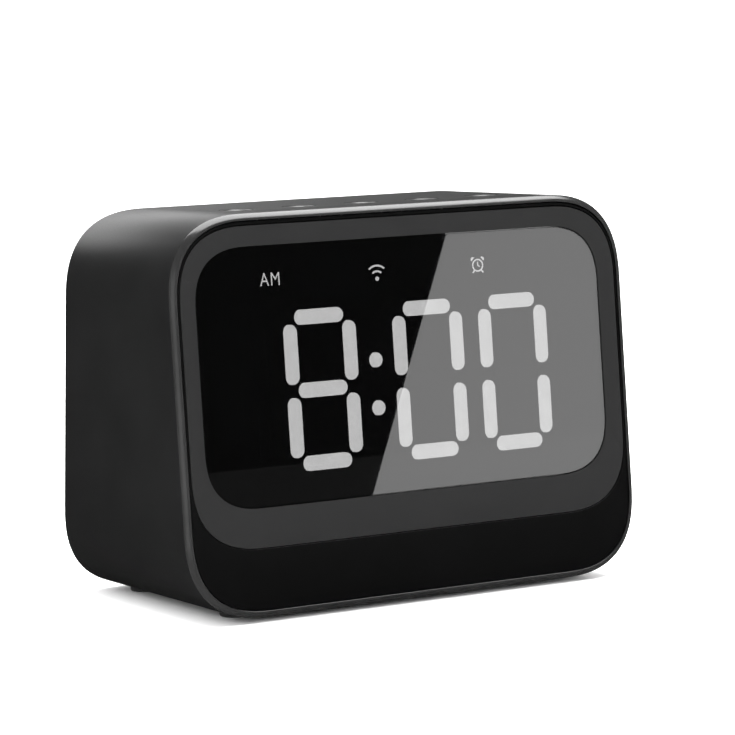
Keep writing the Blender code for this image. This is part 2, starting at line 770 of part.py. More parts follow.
cone_profile = [
    (15.5 * MM, -4.9 * MM),
    (15.5 * MM, -5.3 * MM),
    (14.8 * MM, -5.3 * MM),
    (6.7 * MM, -10.0 * MM),
    (6.7 * MM, -9.5 * MM),
    (14.7 * MM, -4.9 * MM),
]
turned("speaker_cone", cone_profile, CONE_PAPER, speaker_axes, steps=24)

CAP_RISE = 2.2 * MM
cap_angles = [math.radians(30.0 * step) for step in range(4)]
cap_profile = [
    (6.9 * MM * math.sin(angle), CAP_RISE * math.cos(angle) - 8.9 * MM) for angle in cap_angles
]
cap_profile.extend(
    (6.4 * MM * math.sin(angle), CAP_RISE * math.cos(angle) - 9.2 * MM) for angle in reversed(cap_angles)
)
turned("dust_cap", cap_profile, CONE_PAPER, speaker_axes, steps=20)

coil_profile = [
    (6.45 * MM, -9.3 * MM),
    (6.45 * MM, -16.5 * MM),
    (6.05 * MM, -16.5 * MM),
    (6.05 * MM, -9.3 * MM),
]
turned("voice_coil", coil_profile, COPPER, speaker_axes, steps=20)

spider_profile = [(14.1 * MM, -11.0 * MM), (14.1 * MM, -11.35 * MM)]
waves = [(13.0, 0.0), (11.6, 0.5), (10.2, -0.1), (8.8, 0.5), (6.75, 0.2)]
for radius, rise in waves:
    spider_profile.append((radius * MM, -11.2 * MM + rise * MM))
for radius, rise in reversed(waves):
    spider_profile.append((radius * MM, -10.85 * MM + rise * MM))
turned("speaker_spider", spider_profile, SPIDER_CLOTH, speaker_axes, steps=20)

top_plate_profile = [
    (13.0 * MM, -12.5 * MM),
    (13.0 * MM, -14.5 * MM),
    (6.9 * MM, -14.5 * MM),
    (6.9 * MM, -12.5 * MM),
]
turned("speaker_top_plate", top_plate_profile, STEEL, speaker_axes, steps=20)
magnet_profile = [
    (13.6 * MM, -14.8 * MM),
    (13.6 * MM, -19.5 * MM),
    (7.6 * MM, -19.5 * MM),
    (7.6 * MM, -14.8 * MM),
]
turned("speaker_magnet", magnet_profile, FERRITE, speaker_axes, steps=20)
yoke_profile = [
    (0.0, -12.6 * MM),
    (5.5 * MM, -12.6 * MM),
    (5.5 * MM, -19.8 * MM),
    (13.0 * MM, -19.8 * MM),
    (13.0 * MM, -22.0 * MM),
    (0.0, -22.0 * MM),
]
turned("speaker_yoke", yoke_profile, STEEL, speaker_axes, steps=20)


# Buttons, switches and their board

cap_top = HEIGHT
button_profile = [
    (0.0, -BUTTON_DISH),
    (1.5 * MM, -BUTTON_DISH * 0.84),
    (2.6 * MM, -BUTTON_DISH * 0.42),
    (3.4 * MM, -0.02 * MM),
    (3.7 * MM, -0.02 * MM),
    (BUTTON_RADIUS, -0.2 * MM),
    (BUTTON_RADIUS, -1.9 * MM),
    (4.9 * MM, -1.9 * MM),
    (4.9 * MM, -3.2 * MM),
    (2.0 * MM, -3.2 * MM),
    (2.0 * MM, -5.2 * MM),
    (0.0, -5.2 * MM),
]
switch_floor = BUTTON_BOARD_Z + BUTTON_BOARD_THICK + GAP
plunger_top = HEIGHT - 5.2 * MM - GAP
for index, (x, y) in enumerate(button_places):
    number = index + 1
    turned(f"button_cap_{number}", button_profile, BUTTON_BLACK, case_axes, (x, y, cap_top), 20)
    plunger_base = switch_floor + 1.9 * MM
    plunger_profile = [
        (0.0, plunger_top - plunger_base),
        (PLUNGER_RADIUS - 0.2 * MM, plunger_top - plunger_base),
        (PLUNGER_RADIUS, plunger_top - plunger_base - 0.2 * MM),
        (PLUNGER_RADIUS, 0.0),
        (0.0, 0.0),
    ]
    turned(f"switch_plunger_{number}", plunger_profile, SWITCH_BLACK, case_axes, (x, y, plunger_base), 10)
    body_fill = box((SWITCH_SIDE, SWITCH_SIDE, SWITCH_HEIGHT), (0.0, 0.0, SWITCH_HEIGHT / 2))
    switch_mesh = mesh_from(f"tact_switch_{number}", body_fill)
    switch = node(f"tact_switch_{number}", switch_mesh, STEEL, case_axes, (x, y, switch_floor))
    well = cylinder(PLUNGER_RADIUS + 0.4 * MM, (0.0, 0.0, 1.0 * MM), (0.0, 0.0, 6.0 * MM), 10)
    boolean(switch, cutter(f"switch_well_{number}", well, case_axes, (x, y, switch_floor)))

button_board_fill = box(
    (84.0 * MM, 12.0 * MM, BUTTON_BOARD_THICK),
    (0.0, BUTTON_Y, BUTTON_BOARD_Z + BUTTON_BOARD_THICK / 2),
)
button_board = node("button_board", mesh_from("button_board", button_board_fill), BOARD_GREEN, case_axes)
board_bores = several(
    *[
        cylinder(1.3 * MM, (x, y, BUTTON_BOARD_Z - MM), (x, y, BUTTON_BOARD_Z + 3.0 * MM), 14)
        for x, y in hanger_places
    ]
)
boolean(button_board, cutter("button_board_bores", board_bores, case_axes))
board_screw_profile = [
    (0.0, 5.0 * MM),
    (0.9 * MM, 5.0 * MM),
    (0.9 * MM, 0.0),
    (1.9 * MM, 0.0),
    (1.9 * MM, -1.1 * MM),
    (0.0, -1.1 * MM),
]
for index, (x, y) in enumerate(hanger_places):
    name = f"button_board_screw_{index + 1}"
    turned(name, board_screw_profile, SCREW_STEEL, case_axes, (x, y, BUTTON_BOARD_Z - GAP), 12)


# Main board with its connectors and modules

board_front = 19.0 * MM
board_rear = BASE_DEPTH - 5.2 * MM
board_top = MAIN_BOARD_Z + BOARD_THICK
board_shoulder = 52.0 * MM
half_board = []
for x, y in ((44.5, board_rear), (44.5, board_shoulder), (50.0, board_shoulder), (50.0, board_front)):
    half_board.append((x * MM, y))
main_board_edge = half_board + [(-x, y) for x, y in reversed(half_board)]
flat(
    "main_board",
    [main_board_edge],
    BOARD_THICK,
    BOARD_GREEN,
    case_axes,
    (0.0, 0.0, MAIN_BOARD_Z + BOARD_THICK / 2),
    (0.0, 0.0, 0.0),
)

part_floor = board_top + GAP
usb_y = board_rear - 1.7 * MM
usb_outline = stadium(0.0, 0.0, 9.0 * MM, 3.3 * MM, False)
usb_inner = stadium(0.0, 0.0, 8.2 * MM, 2.5 * MM, False)
usb_front = -4.0 * MM
usb_rear = 4.6 * MM
usb_mesh = mesh_from(
    "usb_c_inlet",
    plate_loft([at_depth(usb_outline, usb_front), at_depth(usb_outline, usb_rear)]),
)
usb = node("usb_c_inlet", usb_mesh, SHIELD, case_axes, (USB_X, usb_y, PORT_Z))
usb_well = plate_loft([at_depth(usb_inner, usb_front + 2.0 * MM), at_depth(usb_inner, usb_rear + 2.0 * MM)])
boolean(usb, cutter("usb_well", usb_well, case_axes, (USB_X, usb_y, PORT_Z)))
usb_tongue = box((6.4 * MM, 6.0 * MM, 0.7 * MM), (0.0, 0.4 * MM, 0.0))
boolean(usb, cutter("usb_tongue", usb_tongue, case_axes, (USB_X, usb_y, PORT_Z)), "UNION")

aux_fill = box((6.4 * MM, 9.0 * MM, 5.2 * MM), (0.0, -1.6 * MM, 0.9 * MM))
aux_mesh = mesh_from("aux_jack", aux_fill)
aux = node("aux_jack", aux_mesh, CHIP_BLACK, case_axes, (AUX_X, usb_y - 0.4 * MM, PORT_Z))
aux_barrel = cylinder(2.9 * MM, (0.0, 2.5 * MM, 0.0), (0.0, 5.0 * MM, 0.0), 20)
aux_place = (AUX_X, usb_y - 0.4 * MM, PORT_Z)
boolean(aux, cutter("aux_barrel", aux_barrel, case_axes, aux_place), "UNION")
aux_bore = cylinder(1.8 * MM, (0.0, -4.0 * MM, 0.0), (0.0, 8.0 * MM, 0.0), 20)
boolean(aux, cutter("aux_bore", aux_bore, case_axes, aux_place))

card_fill = box((12.2 * MM, 13.0 * MM, CARD_SLOT_HEIGHT), (0.0, -2.2 * MM, 0.0))
card_place = (CARD_X, usb_y, part_floor + CARD_SLOT_HEIGHT / 2)
card_mesh = mesh_from("card_slot", card_fill)
card = node("card_slot", card_mesh, SHIELD, case_axes, card_place)
card_mouth = box((11.2 * MM, 14.0 * MM, 1.0 * MM), (0.0, 0.0, 0.0))
boolean(card, cutter("card_mouth", card_mouth, case_axes, card_place))

wireless_fill = box((14.0 * MM, 16.0 * MM, 2.4 * MM), (-37.8 * MM, 55.0 * MM, part_floor + 1.2 * MM))
wireless = node("wireless_module", mesh_from("wireless_module", wireless_fill), SHIELD, case_axes)
round_edges(wireless, 0.3 * MM, 2)
chip_fill = box((9.0 * MM, 9.0 * MM, 1.4 * MM), (38.0 * MM, 55.0 * MM, part_floor + 0.7 * MM))
chip = node("amplifier_chip", mesh_from("amplifier_chip", chip_fill), CHIP_BLACK, case_axes)
round_edges(chip, 0.2 * MM, 1)


# Battery cell in its cradle

cell_profile = [
    (0.0, CELL_LENGTH / 2 + 1.2 * MM),
    (2.8 * MM, CELL_LENGTH / 2 + 1.2 * MM),
    (2.8 * MM, CELL_LENGTH / 2),
    (CELL_RADIUS - 0.7 * MM, CELL_LENGTH / 2),
    (CELL_RADIUS, CELL_LENGTH / 2 - 0.7 * MM),
    (CELL_RADIUS, -CELL_LENGTH / 2 + 0.7 * MM),
    (CELL_RADIUS - 0.7 * MM, -CELL_LENGTH / 2),
    (0.0, -CELL_LENGTH / 2),
]
cell = turned("battery_cell", cell_profile, CELL_WRAP, case_axes, (0.0, CELL_Y, CELL_Z), 20)
cell.rotation_euler = (0.0, math.radians(90.0), 0.0)
cradle_floor = part_floor
cradle_top = CELL_Z + 1.0 * MM
cradle_fill = box(
    (CELL_LENGTH + 7.0 * MM, 22.0 * MM, cradle_top - cradle_floor),
    (0.0, CELL_Y, (cradle_top + cradle_floor) / 2),
)
cradle = node("battery_cradle", mesh_from("battery_cradle", cradle_fill), HOLDER_BLACK, case_axes)
reach = CELL_LENGTH / 2 + 1.6 * MM
trough = cylinder(CELL_RADIUS + GAP, (-reach, CELL_Y, CELL_Z), (reach, CELL_Y, CELL_Z), 20)
boolean(cradle, cutter("cell_trough", trough, case_axes))
opening = box((2 * reach, 2 * (CELL_RADIUS + GAP), 10.0 * MM), (0.0, CELL_Y, CELL_Z + 5.0 * MM))
boolean(cradle, cutter("cradle_opening", opening, case_axes))


# Feet

foot_profile = [
    (0.0, 0.3 * MM),
    (4.0 * MM, 0.3 * MM),
    (4.0 * MM, -0.7 * MM),
    (3.7 * MM, -FOOT_HEIGHT),
    (0.0, -FOOT_HEIGHT),
]
for index, (x, y) in enumerate(foot_places):
    turned(f"rubber_foot_{index + 1}", foot_profile, RUBBER, case_axes, (x, y, 0.0), 20)


# Leads and ribbons inside the case

lead_y = 50.5 * MM
for name, side, finish in (("positive", 1, RED_LEAD), ("negative", -1, BLACK_LEAD)):
    start = (side * 3.0 * MM, 51.6 * MM, 37.2 * MM)
    route = rounded_route(
        [
            start,
            (side * 3.0 * MM, 50.0 * MM, 30.0 * MM),
            (side * 6.0 * MM, lead_y, 20.0 * MM),
            (side * 6.0 * MM, lead_y, board_top + GAP),
        ],
        4.0 * MM,
    )
    tube(f"speaker_lead_{name}", route, 0.6 * MM, finish, case_axes)

for name, side, finish in (("positive", 1, RED_LEAD), ("negative", -1, BLACK_LEAD)):
    lead_x = side * (CELL_LENGTH / 2 + 5.6 * MM)
    route = rounded_route(
        [
            (lead_x, CELL_Y, CELL_Z - 4.0 * MM),
            (lead_x, CELL_Y, 15.0 * MM),
            (lead_x, CELL_Y + 13.5 * MM, 14.5 * MM),
            (lead_x, CELL_Y + 13.5 * MM, board_top + GAP),
        ],
        3.0 * MM,
    )
    tube(f"battery_lead_{name}", route, 0.6 * MM, finish, case_axes)


def ribbon(name, route, width, thickness):
    """Flat cable whose route lies in a plane across the case."""
    side = []
    for k, (y, z) in enumerate(route):
        before = route[max(k - 1, 0)]
        after = route[min(k + 1, len(route) - 1)]
        run_y = after[0] - before[0]
        run_z = after[1] - before[1]
        length = math.hypot(run_y, run_z)
        side.append((-run_z / length * thickness / 2, run_y / length * thickness / 2))
    upper = [(y + dy, z + dz) for (y, z), (dy, dz) in zip(route, side)]
    lower = [(y - dy, z - dz) for (y, z), (dy, dz) in zip(route, side)]
    shape = upper + lower[::-1]
    fill = plate_loft([[(-width / 2, y, z) for y, z in shape], [(width / 2, y, z) for y, z in shape]])
    return mesh_from(name, fill)


display_back = DISPLAY_BOARD_FRONT + BOARD_THICK
display_route = rounded_route(
    [
        (0.0, display_back + GAP + 1.9 * MM, 16.5 * MM),
        (0.0, display_back + GAP + 3.6 * MM, 16.5 * MM),
        (0.0, board_front + 0.6 * MM, 13.6 * MM),
        (0.0, board_front + 0.6 * MM, board_top + GAP),
    ],
    1.5 * MM,
)
display_ribbon_mesh = ribbon(
    "display_ribbon", [(y, z) for _, y, z in display_route], 14.0 * MM, 0.3 * MM
)
node("display_ribbon", display_ribbon_mesh, RIBBON_WHITE, case_axes)

button_route = rounded_route(
    [
        (0.0, BUTTON_Y + 3.0 * MM, BUTTON_BOARD_Z - GAP),
        (0.0, BUTTON_Y + 3.0 * MM, BUTTON_BOARD_Z - 10.0 * MM),
        (0.0, BUTTON_Y - 6.3 * MM, 60.0 * MM),
        (0.0, BUTTON_Y - 6.3 * MM, 40.0 * MM),
        (0.0, BUTTON_Y - 6.3 * MM, 26.0 * MM),
        (0.0, 16.6 * MM + 1.0 * MM, 20.0 * MM),
    ],
    4.0 * MM,
)
button_ribbon_mesh = ribbon(
    "button_ribbon", [(y, z) for _, y, z in button_route], 8.0 * MM, 0.3 * MM
)
node("button_ribbon", button_ribbon_mesh, RIBBON_WHITE, case_axes, (-22.0 * MM, 0.0, 0.0))
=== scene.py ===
"""Digital alarm clock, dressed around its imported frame.

Lengths are in metres. The clock stands on z = 0, +Z is up and the display faces -Y.
Each sub-assembly is a class that builds its own pieces and gives them their finishes.
"""

import json
import logging
import math
from dataclasses import dataclass, field
from enum import Enum
from typing import Callable, Iterable, Sequence

import bmesh
import bpy
from mathutils import Matrix, Vector


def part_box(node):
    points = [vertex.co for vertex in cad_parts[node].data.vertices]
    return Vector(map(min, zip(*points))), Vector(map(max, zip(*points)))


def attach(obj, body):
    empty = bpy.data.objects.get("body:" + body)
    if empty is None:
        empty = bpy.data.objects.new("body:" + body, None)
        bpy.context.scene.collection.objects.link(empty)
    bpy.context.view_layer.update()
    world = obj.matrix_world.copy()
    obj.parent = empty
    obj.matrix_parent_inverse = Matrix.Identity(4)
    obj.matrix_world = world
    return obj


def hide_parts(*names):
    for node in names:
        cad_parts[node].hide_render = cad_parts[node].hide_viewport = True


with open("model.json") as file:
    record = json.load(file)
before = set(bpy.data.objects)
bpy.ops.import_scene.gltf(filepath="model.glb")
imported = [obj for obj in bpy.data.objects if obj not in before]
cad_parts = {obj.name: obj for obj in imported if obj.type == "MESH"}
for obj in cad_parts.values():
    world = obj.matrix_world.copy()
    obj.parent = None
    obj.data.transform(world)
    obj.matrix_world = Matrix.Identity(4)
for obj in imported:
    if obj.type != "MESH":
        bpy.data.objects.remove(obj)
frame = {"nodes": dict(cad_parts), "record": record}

LOG = logging.getLogger("alarm_clock")
MM = 0.001
# Length of one band of a wave texture whose scale is 1.
WAVE_LENGTH = 0.314

Point = tuple[float, float]
Place = tuple[float, float, float]
Colour = tuple[float, float, float]
Fill = Callable[[bmesh.types.BMesh], None]


class Corner(Enum):
    """How a rounded rectangle turns its corners, as the power of its corner curve."""

    SQUARISH = 2.6
    ROUND = 2.0


class Stroke(Enum):
    """The seven strokes of a digit as (sideways, level, upright) in half steps."""

    TOP = (0, 2, False)
    MIDDLE = (0, 0, False)
    BOTTOM = (0, -2, False)
    UPPER_LEFT = (-1, 1, True)
    UPPER_RIGHT = (1, 1, True)
    LOWER_LEFT = (-1, -1, True)
    LOWER_RIGHT = (1, -1, True)


class Shading(Enum):
    """Largest angle between faces, in degrees, that still shades smooth."""

    SOFT = 60.0
    CRISP = 28.0


# --------------------------------------------------------------------------- outlines


def rounded_rectangle(
    width: float,
    height: float,
    radius: float,
    middle: float = 0.0,
    corner: Corner = Corner.SQUARISH,
    steps: int = 20,
) -> list[Point]:
    """Points round a rectangle with curved corners.

    Args:
        width: Full width.
        height: Full height.
        radius: Reach of each corner curve.
        middle: Height of the rectangle's middle.
        corner: Shape of the corner curve.
        steps: Straight pieces in each corner.

    Returns:
        The outline as (across, up) points.
    """
    points = []
    power = 2.0 / corner.value
    for side, level, start in ((1, -1, -90), (1, 1, 0), (-1, 1, 90), (-1, -1, 180)):
        for step in range(steps + 1):
            angle = math.radians(start + 90.0 * step / steps)
            across = math.copysign(abs(math.cos(angle)) ** power, math.cos(angle))
            up = math.copysign(abs(math.sin(angle)) ** power, math.sin(angle))
            x = side * (width / 2 - radius) + radius * across
            z = middle + level * (height / 2 - radius) + radius * up
            points.append((x, z))
    return points


def stroke_outline(
    middle: Point, length: float, width: float, upright: bool, steps: int = 12
) -> list[Point]:
    """Points round a stroke with full round ends.

    Args:
        middle: Middle of the stroke.
        length: Length over the round ends.
        width: Width of the stroke.
        upright: True if the stroke stands upright.
        steps: Straight pieces in each round end.

    Returns:
        The outline as (across, up) points.
    """
    points = []
    reach = (length - width) / 2
    for side, start in ((1, -90.0), (-1, 90.0)):
        for step in range(steps + 1):
            angle = math.radians(start + 180.0 * step / steps)
            along = side * reach + width / 2 * math.cos(angle)
            across = width / 2 * math.sin(angle)
            if upright:
                points.append((middle[0] - across, middle[1] + along))
            else:
                points.append((middle[0] + along, middle[1] + across))
    return points


def ring_outline(middle: Point, radius: float, steps: int = 40) -> list[Point]:
    """Points round a circle.

    Args:
        middle: Centre of the circle.
        radius: Radius of the circle.
        steps: Number of points.

    Returns:
        The outline as (across, up) points.
    """
    turns = (math.tau * step / steps for step in range(steps))
    return [(middle[0] + radius * math.cos(t), middle[1] + radius * math.sin(t)) for t in turns]


@dataclass(frozen=True)
class LeaningAxes:
    """Axes of the leaning front or back of the case.

    Depth runs into the case from that side's outer plane, and height runs up along it.
    """

    y: float
    z: float
    lean: float
    inward: int

    def place(self, across: float, depth: float, height: float) -> Vector:
        """Turns a place on these axes into the clock's own frame.

        Args:
            across: Distance to the right, seen from the front.
            depth: Distance into the case.
            height: Distance up along the leaning side.

        Returns:
            The place in metres.
        """
        cosine, sine = math.cos(self.lean), math.sin(self.lean)
        y = self.inward * (depth * cosine + height * sine)
        return Vector((across, self.y + y, self.z + height * cosine - depth * sine))

    def ring(self, points: Iterable[Point], depth: float) -> list[Vector]:
        """Places an outline at one depth."""
        return [self.place(across, depth, height) for across, height in points]

    def matrix(self, across: float, depth: float, height: float) -> Matrix:
        """Axes at a place on this side, with +Z pointing out of the case.

        Args:
            across: Distance to the right, seen from the front.
            depth: Distance into the case.
            height: Distance up along the leaning side.

        Returns:
            The placing as a matrix.
        """
        origin = self.place(across, depth, height)
        outward = (self.place(across, depth - MM, height) - origin).normalized()
        up = (self.place(across, depth, height + MM) - origin).normalized()
        right = up.cross(outward)
        turn = Matrix((right, up, outward)).transposed().to_4x4()
        return Matrix.Translation(origin) @ turn


# ----------------------------------------------------------------------------- meshes


class Maker:
    """Turns outlines and profiles into finished objects."""

    @staticmethod
    def mesh(name: str, fill: Fill, shading: Shading) -> bpy.types.Object:
        """Makes an object from a function that fills a mesh.

        Args:
            name: Name of the piece.
            fill: Adds the faces.
            shading: How sharp an edge may be and still shade smooth.

        Returns:
            The new object.
        """
        working = bmesh.new()
        fill(working)
        bmesh.ops.recalc_face_normals(working, faces=working.faces)
        data = bpy.data.meshes.new(name)
        working.to_mesh(data)
        working.free()
        return Maker.link(name, data, shading)

    @staticmethod
    def link(name: str, data: bpy.types.Mesh, shading: Shading) -> bpy.types.Object:
        """Shades a mesh and puts it in the scene.

        Args:
            name: Name of the piece.
            data: Its mesh.
            shading: How sharp an edge may be and still shade smooth.

        Returns:
            The new object.
        """
        data.shade_smooth()
        data.set_sharp_from_angle(angle=math.radians(shading.value))
        made = bpy.data.objects.new(name, data)
        bpy.context.scene.collection.objects.link(made)
        return made

    @staticmethod
    def frame_fill(rings: Sequence[Sequence[Vector]]) -> Fill:
        """Faces of a closed frame through a loop of matching rings.

        Args:
            rings: Rings of places, each with as many as the others.

        Returns:
            A function that adds the faces.
        """

        def fill(working: bmesh.types.BMesh) -> None:
            """Adds the faces between each ring and the next, and back to the first."""
            loops = [[working.verts.new(place) for place in ring] for ring in rings]
            Maker._bridge(working, loops + loops[:1])

        return fill

    @staticmethod
    def plate_fill(rings: Sequence[Sequence[Vector]]) -> Fill:
        """Faces of a closed plate through a row of matching rings.

        Args:
            rings: Rings of places, each with as many as the others.

        Returns:
            A function that adds the faces.
        """

        def fill(working: bmesh.types.BMesh) -> None:
            """Adds the faces between the rings and a face over each end.

            Args:
                working: The mesh being filled.
            """
            loops = [[working.verts.new(place) for place in ring] for ring in rings]
            Maker._bridge(working, loops)
            working.faces.new(loops[0])
            working.faces.new(loops[-1])

        return fill

    @staticmethod
    def _bridge(working: bmesh.types.BMesh, loops: Sequence[Sequence[bmesh.types.BMVert]]) -> None:
        """Joins each loop of points to the next with faces.

        Args:
            working: The mesh being filled.
            loops: Loops of points, each with as many as the others.
        """
        for loop, following in zip(loops, loops[1:]):
            for k, corner in enumerate(loop):
                after = (k + 1) % len(loop)
                working.faces.new((corner, loop[after], following[after], following[k]))

    @staticmethod
    def turned_fill(profile: Sequence[Point], placing: Matrix, steps: int = 64) -> Fill:
        """Faces of a body turned round +Z.

        Args:
            profile: Loop of (radius, height), which may start and end on the axis.
            placing: Where the axis stands.
            steps: Straight pieces in one turn.

        Returns:
            A function that adds the faces.
        """

        def fill(working: bmesh.types.BMesh) -> None:
            """Adds the turned faces.

            Args:
                working: The mesh being filled.
            """
            open_ended = profile[0][0] == 0.0 and profile[-1][0] == 0.0
            rows = []
            for radius, height in profile:
                if radius == 0.0:
                    rows.append([working.verts.new(placing @ Vector((0.0, 0.0, height)))])
                    continue
                row = []
                for step in range(steps):
                    turn = math.tau * step / steps
                    spot = Vector((radius * math.cos(turn), radius * math.sin(turn), height))
                    row.append(working.verts.new(placing @ spot))
                rows.append(row)
            pairs = list(zip(rows, rows[1:]))
            if not open_ended:
                pairs.append((rows[-1], rows[0]))
            for upper, lower in pairs:
                for k in range(steps):
                    after = (k + 1) % steps
                    if len(upper) == 1:
                        working.faces.new((upper[0], lower[k], lower[after]))
                    elif len(lower) == 1:
                        working.faces.new((upper[k], lower[0], upper[after]))
                    else:
                        working.faces.new((upper[k], lower[k], lower[after], upper[after]))

        return fill

    @staticmethod
    def several(*fills: Fill) -> Fill:
        """One fill that does each of these in turn.

        Args:
            *fills: Functions that add faces.

        Returns:
            A function that adds all their faces.
        """

        def fill(working: bmesh.types.BMesh) -> None:
            """Adds every set of faces."""
            for one in fills:
                one(working)

        return fill

    @staticmethod
    def pierced_plate(
        name: str,
        outlines: Sequence[Sequence[Point]],
        thickness: float,
        placing: Matrix,
        bevel: float = 0.0,
        shading: Shading = Shading.CRISP,
    ) -> bpy.types.Object:
        """Flat plate with holes, from outlines in its own plane.

        Args:
            name: Name of the piece.
            outlines: The edge first, then each hole.
            thickness: Full thickness, centred on the placing.
            placing: Where the plate's middle plane lies, with +Z out of its face.
            bevel: Rounding of its edges.
            shading: How sharp an edge may be and still shade smooth.

        Returns:
            The new object.
        """
        curve = bpy.data.curves.new(name, "CURVE")
        curve.dimensions = "2D"
        curve.fill_mode = "BOTH"
        curve.extrude = thickness / 2 - bevel
        curve.bevel_depth = bevel
        curve.bevel_resolution = 2
        curve.offset = -bevel
        for points in outlines:
            spline = curve.splines.new("POLY")
            spline.points.add(len(points) - 1)
            for point, (across, up) in zip(spline.points, points):
                point.co = (across, up, 0.0, 1.0)
            spline.use_cyclic_u = True
        flat = bpy.data.objects.new(name, curve)
        bpy.context.scene.collection.objects.link(flat)
        bpy.context.view_layer.update()
        graph = bpy.context.evaluated_depsgraph_get()
        data = bpy.data.meshes.new_from_object(flat.evaluated_get(graph))
        bpy.data.objects.remove(flat)
        bpy.data.curves.remove(curve)
        working = bmesh.new()
        working.from_mesh(data)
        bmesh.ops.remove_doubles(working, verts=working.verts, dist=1e-6)
        bmesh.ops.recalc_face_normals(working, faces=working.faces)
        working.to_mesh(data)
        working.free()
        data.transform(placing)
        return Maker.link(name, data, shading)

    @staticmethod
    def cut(body: bpy.types.Object, fill: Fill, shading: Shading) -> None:
        """Cuts a shape out of a body and leaves no modifier on it.

        Args:
            body: The piece that is cut.
            fill: Adds the faces of the cutting shape.
            shading: How sharp an edge may be and still shade smooth.
        """
        tool = Maker.mesh("cutting_tool", fill, Shading.CRISP)
        step = body.modifiers.new("cut", "BOOLEAN")
        step.operation = "DIFFERENCE"
        step.solver = "EXACT"
        step.object = tool
        bpy.context.view_layer.update()
        graph = bpy.context.evaluated_depsgraph_get()
        data = bpy.data.meshes.new_from_object(body.evaluated_get(graph))
        body.modifiers.clear()
        old = body.data
        body.data = data
        bpy.data.meshes.remove(old)
        tool_mesh = tool.data
        bpy.data.objects.remove(tool)
        bpy.data.meshes.remove(tool_mesh)
        data.shade_smooth()
        data.set_sharp_from_angle(angle=math.radians(shading.value))


# --------------------------------------------------------------------------- finishes


